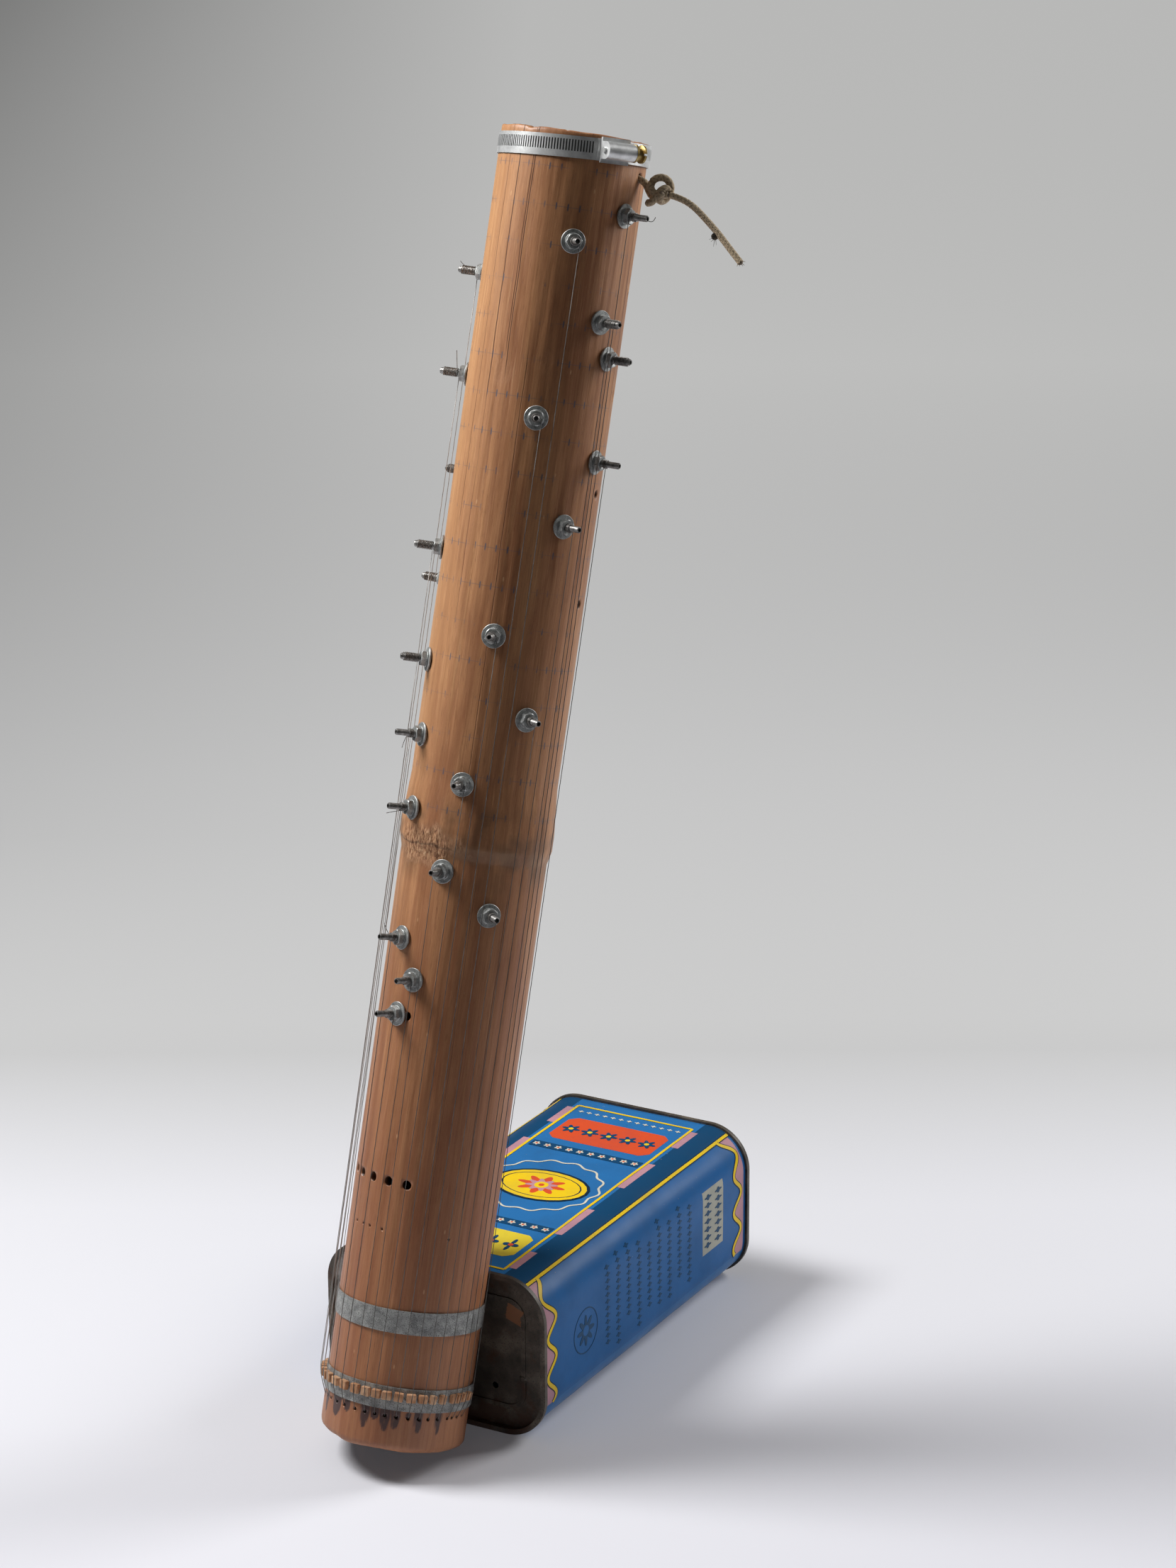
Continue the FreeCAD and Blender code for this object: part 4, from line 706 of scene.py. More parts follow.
class ZITHER_OT_stage(bpy.types.Operator):
    """Pale floor with painted shade that greys it with distance and a painted glow behind the zither, soft lights at
    both sides, and the camera
    """

    bl_idname = "zither.stage"
    bl_label = "Stage"

    def execute(self, context):
        right = Vector((*CAMERA_SIDE[:2], 0.0))
        ahead = Vector((-right.y, right.x, 0.0))
        centre = Vector((0.01, 0.06, 0.4))
        rings = np.array([0.3, 0.6, 1.0, 1.6, 2.6, 4.5, 9.0, 30.0])
        angle = np.arange(64) / 64 * 2 * math.pi
        ring = np.stack([rings[:, None] * np.cos(angle), rings[:, None] * np.sin(angle),
                         np.zeros((len(rings), 64))], -1).reshape(-1, 3)
        first = np.arange(64)
        faces = [grid_faces(len(rings), 64, wrap_columns=True)[:, ::-1],
                 np.stack([first, np.roll(first, -1), np.full(64, len(ring))], -1)]
        floor = make_piece("floor", np.vstack([ring, (0, 0, 0)]) + (0, 0, -0.0002), faces)
        made, tree, shader = new_material("paper_sweep_painted_light", Roughness=0.9, Specular_IOR_Level=0.2)
        place = node(tree, "Mapping", node(tree, "TexCoord", out="Object"),
                     Rotation=(0, 0, -math.atan2(CAMERA_SIDE[1], CAMERA_SIDE[0])))
        depth = node(tree, "MapRange", node(tree, "SeparateXYZ", place, out="Y"), -1.0, 7.0, 0.0, 1.0)
        across = node(tree, "SeparateXYZ", place, out="X")
        # Painted shade: the floor's colour is pale near the zither and greys towards the front and the back
        shade = node(tree, "ValToRGB", depth, stops=FLOOR_SHADES)
        tree.links.new(shade, shader.inputs["Base Color"])
        # Painted glow: the floor emits light that grows with distance behind the zither and fades out to the right
        # beyond 1.2 m; painted shade darkens it to the left from 0.4 m behind
        glow = node(tree, "ValToRGB", depth, stops=FLOOR_PAINTED_GLOWS)
        glow = tinted(tree, glow, linear("000000"), across, 1.2, 2.6)
        glow = overlaid(tree, glow, linear("000000"), node(tree, "MapRange", across, -0.02, -1.75, 0.0, 1.0),
                        node(tree, "MapRange", depth, 0.18, 0.26, 0.0, 1.0))
        tree.links.new(glow, shader.inputs["Emission Color"])
        shader.inputs["Emission Strength"].default_value = 1.0
        floor.data.materials.append(made)

        for name, place, width, tall, power in (
                ("left_softbox", centre - right * 1.1 + ahead * 0.22 + Vector((0, 0, 1.25)), 0.55, 0.75, 39),
                ("right_softbox", centre + right * 1.4 + ahead * 0.6 + Vector((0, 0, 0.7)), 0.6, 1.0, 20),
                ("top_softbox", centre + Vector((0, 0, 1.7)) - right * 0.4, 1.2, 1.2, 3)):
            lamp = bpy.data.lights.new(name, "AREA")
            lamp.shape = "RECTANGLE"
            lamp.size, lamp.size_y, lamp.energy = width, tall, power
            made = bpy.data.objects.new(name, lamp)
            made.location = place
            made.rotation_euler = (place - centre).to_track_quat("Z", "Y").to_euler()
            context.scene.collection.objects.link(made)
        world = bpy.data.worlds.new("studio")
        world.use_nodes = True
        world.node_tree.nodes["Background"].inputs["Color"].default_value = linear("cdcdca")
        world.node_tree.nodes["Background"].inputs["Strength"].default_value = 0.06
        context.scene.world = world
        context.scene.view_settings.view_transform = "Standard"

        camera = bpy.data.cameras.new("photo_camera")
        camera.sensor_width = 36.0
        camera.lens = FOCAL / TALL * camera.sensor_width
        made = bpy.data.objects.new("photo_camera", camera)
        view = Vector(CAMERA_VIEW).normalized()
        side = Vector(CAMERA_SIDE)
        side = (side - view * side.dot(view)).normalized()
        made.matrix_world = Matrix.Translation(CAMERA_AT) @ Matrix(
            (side, side.cross(view), -view)).transposed().to_4x4()
        context.scene.collection.objects.link(made)
        context.scene.camera = made
        return {"FINISHED"}


class ZITHER_OT_cord(bpy.types.Operator):
    """Braided hanging cord with its open knot, the stopper knot inside the tube, the small dark tie and
    the frayed tip"""

    bl_idname = "zither.cord"
    bl_label = "Cord"

    def execute(self, context):
        sizes, colours = context.scene.zither_sizes, context.scene.zither_colours
        finish = cord_material("braided_bast_fibre", tuple(colours.cord), linear("776858"))
        origin, rotation = outward(sizes, CORD_HOLE[0], CORD_HOLE[1] * MM, 0.0)
        radius = sizes.cord_diameter / 2

        def row_points(route):
            """Reach, drop and sway in millimetres as row points."""
            reach, drop, sway = np.asarray(route, float).T * MM
            return np.stack([sway, -drop, reach], -1) @ rotation.T + origin

        route = row_points(CORD_ROUTE)
        line, marks = evenly(spline_line(context, "cord", route), 0.3 * MM)
        radii = braided(marks, radius)
        free = make_piece("hanging_cord", *along_path(line, radii, rotation[:, 0], 32))
        field(free, "strand", self.strand(radii, radius))
        dress(free, finish, replaces=["cord"])

        parts, strands = [], []
        for name, ways in (("knot", KNOT_ROUTE), ("turn", TURN_ROUTE)):
            path, way = evenly(spline_line(context, name, row_points(ways), 4), 0.4 * MM)
            width = braided(way, radius * 1.12)
            parts.append(along_path(path, width, ASKEW, 32))
            strands.append(self.strand(width, radius * 1.12))
        knot = make_piece("cord_outer_knot", *joined(parts))
        field(knot, "strand", np.concatenate(strands))
        dress(knot, finish, replaces=["cord_knot"])

        turn = np.linspace(0, 2 * math.pi, 14)[:-1]
        clover = np.stack([32.2 + 1.1 * np.sin(3 * turn), 1.15 * (np.sin(turn) + 2 * np.sin(2 * turn)) * 0.62,
                           1.15 * (np.cos(turn) - 2 * np.cos(2 * turn)) * 0.62], -1)
        lead = np.array([(36.0, 0.2, 0.0), (34.6, 0.2, 0.0)])
        path, way = evenly(spline_line(context, "stop", row_points(np.vstack([lead, clover])), 4), 0.5 * MM)
        width = braided(way, radius * 0.9)
        inner = make_piece("cord_inner_knot", *along_path(path, width, ASKEW, 32))
        field(inner, "strand", self.strand(width, radius))
        dress(inner, finish, replaces=["cord_stop_knot"])

        dark = cord_material("waxed_thread", linear("4a4034"), linear("241f1a"))
        at = route[-3] + rotation @ (np.array((0.0, -1.0, -1.0)) * 1.9 * MM)
        t = np.linspace(0, 1, 220)
        polar = 0.35 + 2.4 * t
        wound = np.stack([1.85 * np.cos(t * 50) * np.sin(polar), 1.85 * np.sin(t * 50) * np.sin(polar),
                          1.85 * np.cos(polar)], -1) * MM
        parts = [along_path(wound @ rotation.T + at, 0.34 * MM, ASKEW, 6)]
        random = np.random.default_rng(5)
        for way in random.normal(size=(9, 3)) * (0.5, 0.7, 0.5) + (0.1, -0.7, 0.3):
            s = np.linspace(0, 1, 6)[:, None]
            strand = at + (s * way * 3.2 + s * s * random.normal(size=3) * 0.8) @ rotation.T * MM
            parts.append(along_path(strand, np.linspace(0.18, 0.08, 6) * MM, ASKEW, 5))
        tie = make_piece("cord_thread_tie", *joined(parts))
        dress(tie, dark, replaces=["cord_tie"])

        pale = cord_material("frayed_bast_fibre", linear("d8cdb2"), linear("a8987a"))
        along = route[-1] - route[-2]
        along /= np.linalg.norm(along)
        parts = []
        for spread, long in zip(random.normal(size=(12, 3)) * 0.28, random.uniform(1.2, 2.6, 12)):
            s = np.linspace(0, 1, 6)[:, None]
            start = route[-1] - along * 2.4 * MM + spread * 2.2 * MM
            strand = start + s * (along * (0.6 + 0.7 * long) + spread * 1.2) * MM + s * s * spread * 1.4 * MM
            parts.append(along_path(strand, np.linspace(0.32, 0.1, 6) * MM, ASKEW, 5))
        tip = make_piece("cord_frayed_tip", *joined(parts))
        dress(tip, pale)
        return {"FINISHED"}

    def strand(self, radii, radius):
        """How high each point of a braided tube stands, from 0 in the gaps to 1, with its two poles."""
        high = np.clip((radii.ravel() / radius - BRAID_GAP) / BRAID_STRAND, 0, 1)
        return np.append(high, (0.5, 0.5))


class ZITHER_OT_bamboo_tube(bpy.types.Operator):
    """Bamboo tube: one closed surface of revolution with its bore and septum, worn at both ends and
    rough at the node, drilled for the pins, the strings and the cord"""

    bl_idname = "zither.bamboo_tube"
    bl_label = "Bamboo tube"

    def execute(self, context):
        sizes = context.scene.zither_sizes
        length, radius, bore = sizes.length, sizes.radius, sizes.bore
        heights = np.concatenate([[0, 0.7, 1.6, 2.8, 4.2, 5.6], np.arange(7, 60, 1.2), np.arange(60, 340, 3.5),
                                  np.arange(340, 412, 1.2), np.arange(412, 740, 2.8),
                                  np.arange(740, 784, 1.6)]) * MM
        near = np.clip(5 * MM - heights, 0, 5 * MM)
        reach = radius + swelling(sizes, heights) - 5 * MM + np.sqrt((5 * MM) ** 2 - near ** 2)
        outer = np.stack([reach, heights], -1)
        top = np.array([(radius, length), (radius, length), (radius, length), (bore, length), (bore, length),
                        (bore, length), (bore, length)]) + np.array(
            [(-0.1, -1.0), (-0.5, -0.3), (-1.3, 0), (3, -0.1), (1, 0), (0.3, -0.4), (0, -1.2)]) * MM
        septum = sizes.node_low + 13 * MM
        down = np.arange(length - 20 * MM, septum + 6 * MM, -20 * MM)
        crown = [(bore, septum + 6 * MM), (bore - 3 * MM, septum + 1.5 * MM), (bore - 8 * MM, septum),
                 (0.0, septum - 0.2 * MM)]
        under = septum - 5 * MM
        up = np.arange(2 * MM, under - 6 * MM, 20 * MM)[::-1]
        lower = [(0.0, under), (bore - 8 * MM, under), (bore - 3 * MM, under - 1.5 * MM), (bore, under - 6 * MM)]
        rim = [(bore + 0.2 * MM, 0.6 * MM), (bore + 0.9 * MM, 0.0)]
        profile = np.vstack([lower, np.stack([np.full(len(up), bore), up], -1), rim, outer, top,
                             np.stack([np.full(len(down), bore), down], -1), crown])
        level = profile[1:-1, 1:]
        skin = np.zeros((len(level), 1))
        skin[len(lower) + len(up) + 1:][:len(outer) + 4] = 1
        angles = np.arange(200)[None, :] / 200 * 360 - 180
        wear, rise = self.worn(sizes, angles, level)
        ring = on_tube(sizes, angles, profile[1:-1, :1] - skin * wear, level + rise)
        points = np.vstack([ring.reshape(-1, 3), on_tube(sizes, 0.0, np.zeros(2), profile[[0, -1], 1])])
        tube = make_piece("bamboo_tube_culm", points, pole_faces(len(level), 200))
        cut_away(tube, self.drills(sizes))
        place, distance, height = tube_place(sizes, vertices_of(tube.data))
        on_skin = distance > radius - 2.6 * MM
        field(tube, "stain", self.stains(place, height) * on_skin)
        field(tube, "scraped", self.scraped(place, height) * on_skin)
        field(tube, "inside", np.clip((radius - distance - 2.0 * MM) / MM, 0, 1)
              * np.clip((length - 1.5 * MM - height) / MM, 0, 1) * np.clip(height / MM - 2, 0, 1))
        dress(tube, bamboo_material(sizes, context.scene.zither_colours), replaces=["bamboo_tube"])
        return {"FINISHED"}

    def worn(self, sizes, angles, level):
        """How far the wall is worn in and how far its ends are worn along the tube: long shallow hollows
        between the fibres, a hacked patch at the node, dents, chips in the top edge, a rounded corner and
        a waved line at the foot. A dent falls off as one less the square of its distance over its size."""
        theta, s = np.radians(angles), level / MM
        x, y = np.cos(theta), np.sin(theta)
        wear = 0.10 * (1 + waves(3, 9, 3.2 * x, 3.2 * y, s / 900)) + 0.05 * (1 + waves(4, 9, 11 * x, 11 * y, s / 160))
        hacked = 0.5 + 0.35 * waves(5, 12, 9 * x, 9 * y, s / 22) + 0.25 * waves(6, 12, 26 * x, 26 * y, s / 9)
        wear = wear + np.clip(self.scraped(angles, level) * hacked, 0, 1.7)
        for at, high, wide, tall, deep in DENTS:
            apart = ((angles - at + 180) % 360 - 180) / wide
            wear = wear + deep * np.clip(1 - apart ** 2 - ((s - high) / tall) ** 2, 0, 1)
        wear = wear + 2.0 * np.clip(1 - s / 8, 0, 1) ** 2 * np.exp(-((angles + 59) / 25) ** 2)
        drop = 0.2 * (1 + waves(7, 8, 1.4 * x, 1.4 * y)) + 0.5 * np.clip(waves(8, 14, 5 * x, 5 * y) - 0.9, 0, 1)
        for at, wide, deep in ((-9, 4, 0.8), (84, 7, 1.2), (-40, 9, 0.4)):
            drop = drop + deep * np.clip(1 - ((angles - at) / wide) ** 2, 0, 1)
        rise = 0.5 * (1 + waves(9, 8, 1.1 * x, 1.1 * y)) + 1.0 * np.clip(waves(10, 12, 4 * x, 4 * y) - 1.0, 0, 1)
        ends = np.clip(6 - s, 0, 6) / 6 * rise - np.clip((s - sizes.length / MM) / 6 + 1, 0, 1) * np.clip(drop, 0, 4)
        return wear * MM, ends * MM

    def scraped(self, angles, heights):
        """1 in the hacked patch over the node, an ellipse 34 degrees by 12 mm half wide with a wandering
        edge, and less in four small scrapes farther up."""
        s = heights / MM
        wander = 0.2 * waves(11, 10, angles / 28, s / 34)
        patch = np.clip(2.0 - 1.8 * (np.hypot((angles + 15) / 33, (s - 363) / 12.5) + wander), 0, 1)
        for at, high, wide, tall, most in ((-2.0, 643, 8.5, 7.5, 0.12), (30, 652, 7, 6, 0.08),
                                           (115, 700.6, 7, 6.5, 0.8), (110, 638.9, 5, 5.5, 0.6)):
            small = np.clip(2.2 - 2.0 * (np.hypot((angles - at) / wide, (s - high) / tall) + wander), 0, most)
            patch = np.maximum(patch, small)
        return patch

    def stains(self, angles, heights):
        """Purple-brown flames below some string holes: each falls off across its width and fades to a
        point below, as given by rows of hole number, half width in degrees, length in mm and shift."""
        s = heights / MM
        total = np.zeros_like(angles)
        for hole, half, long, shift in ((7, 3.6, 12, 0), (9, 6.2, 11, 0), (10, 3.4, 6, 3), (12, 4.4, 12.5, 0),
                                        (13, 3.8, 6, 0), (14, 4.2, 12.5, 0), (15, 4.4, 10, -1), (16, 2.6, 3, 0),
                                        (17, 3.8, 11, 0), (19, 3.2, 12, 1), (6, 2.2, 6, 0)):
            across = np.abs((angles - HOLE_ANGLE[hole - 1] - shift + 180) % 360 - 180) / half
            fall = (24.5 - s) / long
            width = np.sqrt(np.clip(1 - np.clip(fall, 0, 1) ** 1.6, 0, 1))
            flame = np.clip((width - across) * 2.4 + 0.5, 0, 1) * (fall > -0.35) * (fall < 1.05)
            total = np.maximum(total, flame * np.clip(1.3 + fall * 2, 0, 1))
        return total

    def drills(self, sizes):
        """All round holes as one closed cutter: cylinders that stand out of the tube's wall, as rows of
        angle, height, radius and depth in mm, through the wall where the depth is 0."""
        holes = [(a, s, 2.35, 0) for a, s in zip(PIN_ANGLE, PIN_HEIGHT)]
        holes += [(a, HOLE_HEIGHT, 1.1, 0) for a in HOLE_ANGLE]
        holes += [(a, 161.2, 2.9, 0) for a in (-47.2, -34.8, -19.4, -3.5, 12.6)]
        holes += [(99.4, 579.3, 2.6, 0), (96.7, 514.0, 2.6, 0), (-7.3, 260.2, 2.6, 0), (*CORD_HOLE, 3.0, 0)]
        holes += [(a, 132.0, 0.8, 3.0) for a in (-32.7, -23.7, -15.5, -3.1, 51.5)]
        holes += [(171.0, 60.0, 1.8, 0), (189.0, 60.0, 1.8, 0)]
        holes += [(side * 128.0, s, 0.9, 5.1) for side in (-1, 1) for s in (33.2, 81.2)]
        far = sizes.radius + 4 * MM
        parts = []
        for angle, height, radius, depth in holes:
            near = sizes.radius - depth * MM if depth else sizes.bore - 2 * MM
            parts.append(turned([(0, 0), (radius * MM, 0), (radius * MM, far - near), (0, far - near)], 20,
                                *outward(sizes, angle, height * MM, near)))
        return make_piece("drills", *joined(parts))


class ZITHER_OT_tuning_pins(bpy.types.Operator):
    """Tuning pins, each wound with dark wire and riding on the body that turns, and their washers and nuts"""

    bl_idname = "zither.tuning_pins"
    bl_label = "Tuning pins"

    def execute(self, context):
        sizes = context.scene.zither_sizes
        steel = sheet_metal("turned_pin_steel", "6f6d6a", "8d8b88", "adaba7", 0.7, 0.4, 2.5 * MM, 0.5 * MM, 0.9)
        wire_finish = sheet_metal("tarnished_music_wire", "5d5a56", "807d79", "a29f9b", 0.6, 0.42, 1.5 * MM,
                                  0.3 * MM, 1.0)
        zinc = sheet_metal("zinc_plated_washer", *ZINC)
        random = np.random.default_rng(12)
        washers, nuts = [], []
        for number, (angle, height, wound, side) in enumerate(zip(PIN_ANGLE, PIN_HEIGHT * MM, WOUND,
                                                                  STRING_SIDE), start=1):
            origin, rotation = outward(sizes, angle, height, seat_at(sizes, height))
            pin = turned(np.array([(0, -12.8), (1.6, -12.8), (2.2, -12.2), (2.2, 5.5 + wound), (1.9, 5.9 + wound),
                                   (1.9, 16.4), (1.5, 17.0), (1.15, 16.95), (1.05, 14.1), (0, 14.0)]) * MM,
                         20, origin, rotation)
            t = np.linspace(0, wound / 0.85, int(wound * 17) + 1)
            gap = 0.07 * np.sin(t * random.uniform(4, 7) + number)
            out = 2.41 + 0.04 * np.sin(t * 9 + number)
            coil = np.stack([out * np.cos(2 * math.pi * t) * side, out * np.sin(2 * math.pi * t),
                             6.1 + (wound - 0.4) * t / t[-1] + gap], -1) * MM
            wires = [along_path(coil @ rotation.T + origin, 0.3 * MM, rotation[:, 2], 7)]
            for owner, tail in TAILS:
                if owner == number:
                    loose = spline_line(context, "tail", np.array(tail) * MM @ rotation.T + origin, 3)
                    wires.append(along_path(loose, sizes.wire / 2, rotation @ (0.8, 0.3, 0.1), 6))
            piece = make_piece(f"wound_pin_{number:02d}", *joined([pin, *wires]), sharp=40)
            dress(piece, steel, f"pin_{number:02d}", [f"tuning_pin_{number:02d}"])
            piece.data.materials.append(wire_finish)
            material = np.zeros(len(piece.data.polygons), np.int32)
            material[sum(len(part) for part in pin[1]):] = 1
            piece.data.polygons.foreach_set("material_index", material)
            washers.append(turned(np.array([(2.4, 0.05), (6.95, 0.02), (7.2, 0.25), (7.2, 0.95), (6.95, 1.2),
                                            (2.4, 1.2)]) * MM, 48, origin, rotation))
            twist = np.array(Matrix.Rotation(random.uniform(0, math.pi / 3), 3, "Z"))
            nuts.append(turned(np.array([(2.35, 1.25, 9), (4.7, 1.25, 9), (4.9, 1.4, 9), (4.9, 1.75, 9), (4.75, 1.9, 9),
                                         (5, 1.95, 4.2), (5, 4.75, 4.2), (4.5, 5.02, 4.2), (4.2, 5.2, 4.15),
                                         (3.0, 5.2, 9), (2.35, 4.9, 9)]) * MM, 48, origin, rotation @ twist))
        dress(make_piece("washers", *joined(washers), sharp=30), zinc, replaces=["pin_washers"])
        dress(make_piece("nuts", *joined(nuts), sharp=30), zinc, replaces=["pin_nuts"])
        return {"FINISHED"}


class ZITHER_OT_strings(bpy.types.Operator):
    """Strings: wires from their holes over the bridge blocks to the sides of their pins"""

    bl_idname = "zither.strings"
    bl_label = "Strings"

    def execute(self, context):
        sizes = context.scene.zither_sizes
        # Lit and shaded copies of one steel wire: painted shade makes the front and right strings dark, and painted
        # light makes the left strings pale
        finish = sheet_metal("steel_wire_painted_shade", "4a4744", "5d5a56", "716e6a", 0.15, 0.62, 9 * MM, 0.5 * MM, 0)
        painted_lit_wire = sheet_metal("steel_wire_painted_light", "8d8b88", "a5a29e", "bcb9b5", 0.3, 0.5, 9 * MM, 0.5 * MM, 0)
        seat = sizes.radius + 0.9 * MM
        lift = sizes.wire / 2
        for label, first, last in (("left", 0, 8), ("front", 8, 17), ("right", 17, 23)):
            parts = []
            for index in range(first, last):
                hole, height = HOLE_ANGLE[index], PIN_HEIGHT[index] * MM
                origin, rotation = outward(sizes, PIN_ANGLE[index], height, seat_at(sizes, height))
                end = np.array([STRING_SIDE[index] * 3.2, 0, 5.98]) * MM @ rotation.T + origin
                low = on_tube(sizes, hole, seat + 2.8 * MM + lift, 32.0 * MM)
                high = on_tube(sizes, hole, seat + 3.7 * MM + lift, 38.0 * MM)
                bend = on_tube(sizes, hole, sizes.radius + 0.35 * MM, 22.5 * MM)
                run = (end - high) * np.linspace(0, 1, 12)[1:, None] + high
                route = np.vstack([on_tube(sizes, hole, sizes.bore - 2.5 * MM, HOLE_HEIGHT * MM),
                                   on_tube(sizes, hole, sizes.radius - 1.0 * MM, HOLE_HEIGHT * MM), bend,
                                   (bend + low) / 2, low, high, run])
                across = outward(sizes, hole, height, 0.0)[1][:, 0]
                parts.append(along_path(route, lift, across, 6))
            dress(make_piece(f"wires_{label}", *joined(parts)), painted_lit_wire if label == "left" else finish,
                  replaces=[f"strings_{label}"])
        return {"FINISHED"}


class ZITHER_OT_bridges(bpy.types.Operator):
    """Bridge blocks: hand-cut wooden wedges on the lower strap, no two quite alike"""

    bl_idname = "zither.bridges"
    bl_label = "Bridge blocks"

    def execute(self, context):
        sizes = context.scene.zither_sizes
        finish = wood_material()
        random = np.random.default_rng(21)
        signs = np.array([-1, 1])
        for label, first, last, width, loose in (("left", 0, 8, 4.0, 0.12), ("front", 8, 17, 5.8, 0.06),
                                                 ("right", 17, 23, 4.0, 0.1)):
            blocks = []
            for hole in HOLE_ANGLE[first:last]:
                wide, long = width * random.uniform(0.84, 0.98), 6.0 * random.uniform(0.86, 0.97)
                x, y, z = np.meshgrid(signs * wide / 2, signs * long / 2, (0, 1), indexing="ij")
                top = 3.25 + y / 6 * 0.9 + random.uniform(-0.06, 0.06) * x
                narrow = 1 - z * random.uniform(0.0, 0.12) * np.sign(x)
                corner = np.stack([x * narrow, y * (1 - z * random.uniform(0.0, 0.08)), z * top], -1)
                twist = np.array(Matrix.Rotation(random.uniform(-loose, loose), 3, "Z"))
                origin, rotation = outward(sizes, hole, 35.0 * MM, sizes.radius + 0.91 * MM)
                blocks.append(corner * MM @ twist.T @ rotation.T + origin)
            piece = make_piece(f"blocks_{label}", *bevelled(np.array(blocks), 0.32 * MM), sharp=20)
            dress(piece, finish, replaces=[f"bridges_{label}"])
        return {"FINISHED"}


def tin_point(u, v, lift=0.0):
    """Points of the tin's wall: u is the way round from the middle of the top, to the right, and v the
    place along the tin. A rounded rectangle 151 by 102 mm: flat, arc, flat, arc, flat on each side."""
    half, side, r = (value * MM for value in TIN_OUTLINE)
    arc = r * math.pi / 2
    way = np.abs(u)
    turn = np.clip((way - half) / r, 0, math.pi / 2) + np.clip((way - half - arc - 2 * side) / r, 0, math.pi / 2)
    x = np.clip(way, 0, half) - np.clip(way - half - 2 * arc - 2 * side, 0, half)
    z = side - np.clip(way - half - arc, 0, 2 * side)
    out = r + lift
    return np.stack([np.sign(u) * (x + out * np.sin(turn)), v + 0 * x, z + out * np.cos(turn) + 52.5 * MM], -1)


def tin_dent(u, v):
    """Depth of the tin's shallow dents at places on its wall."""
    return np.clip(0.14 * MM * waves(31, 10, u / 0.09, v / 0.12) - 0.12 * MM, -0.3 * MM, 0)


def panel(u0, u1, v0, v1, cut=0.0):
    """Rectangle of print as a grid of places round and along the tin in mm, close enough to follow its
    corners and dents, with its own corners cut by a length."""
    across, along = max(2, int(abs(u1 - u0) / 1.8) + 2), max(12, int(abs(v1 - v0) / 4))
    u, v = np.meshgrid(np.linspace(u0, u1, across), np.linspace(v0, v1, along))
    if cut:
        inset = np.clip(cut - np.minimum(np.abs(u - u0), np.abs(u1 - u)), 0, cut)
        middle, half = (v0 + v1) / 2, (v1 - v0) / 2
        v = middle + (v - middle) * (half - inset) / half
    return u, v


def stripe(u, v, half):
    """Ribbon of print along a line of places round and along the tin, half a width to each side: the
    line moved by its own normal."""
    u, v = np.broadcast_arrays(np.asarray(u, float), np.asarray(v, float))
    along = np.stack([np.gradient(u), np.gradient(v)])
    along = along / np.linalg.norm(along, axis=0)
    across = np.linspace(-half, half, 2 if half < 1.2 else 4)[:, None]
    return (u - across * along[1])[::-1], (v + across * along[0])[::-1]


def bloom(u, v, a, b=None, petals=0, deep=0.0, inner=0.0, turn=0.0):
    """Flower or ring of print round a place on the tin: half axes a and b, scaled by one less the
    depth times half of 1 - cos(petals times the angle), from an inner share of the size outwards."""
    angle = np.linspace(0, 2 * math.pi, max(25, petals * 10 + 1))[None, :] + turn
    share = np.linspace(max(inner, 0.02), 1, max(2, int(a / 4) + 2))[:, None]
    size = share * (1 - deep * (share > inner) * (1 - np.cos(petals * (angle - turn))) / 2)
    return u + a * size * np.cos(angle), v + (b or a) * size * np.sin(angle)


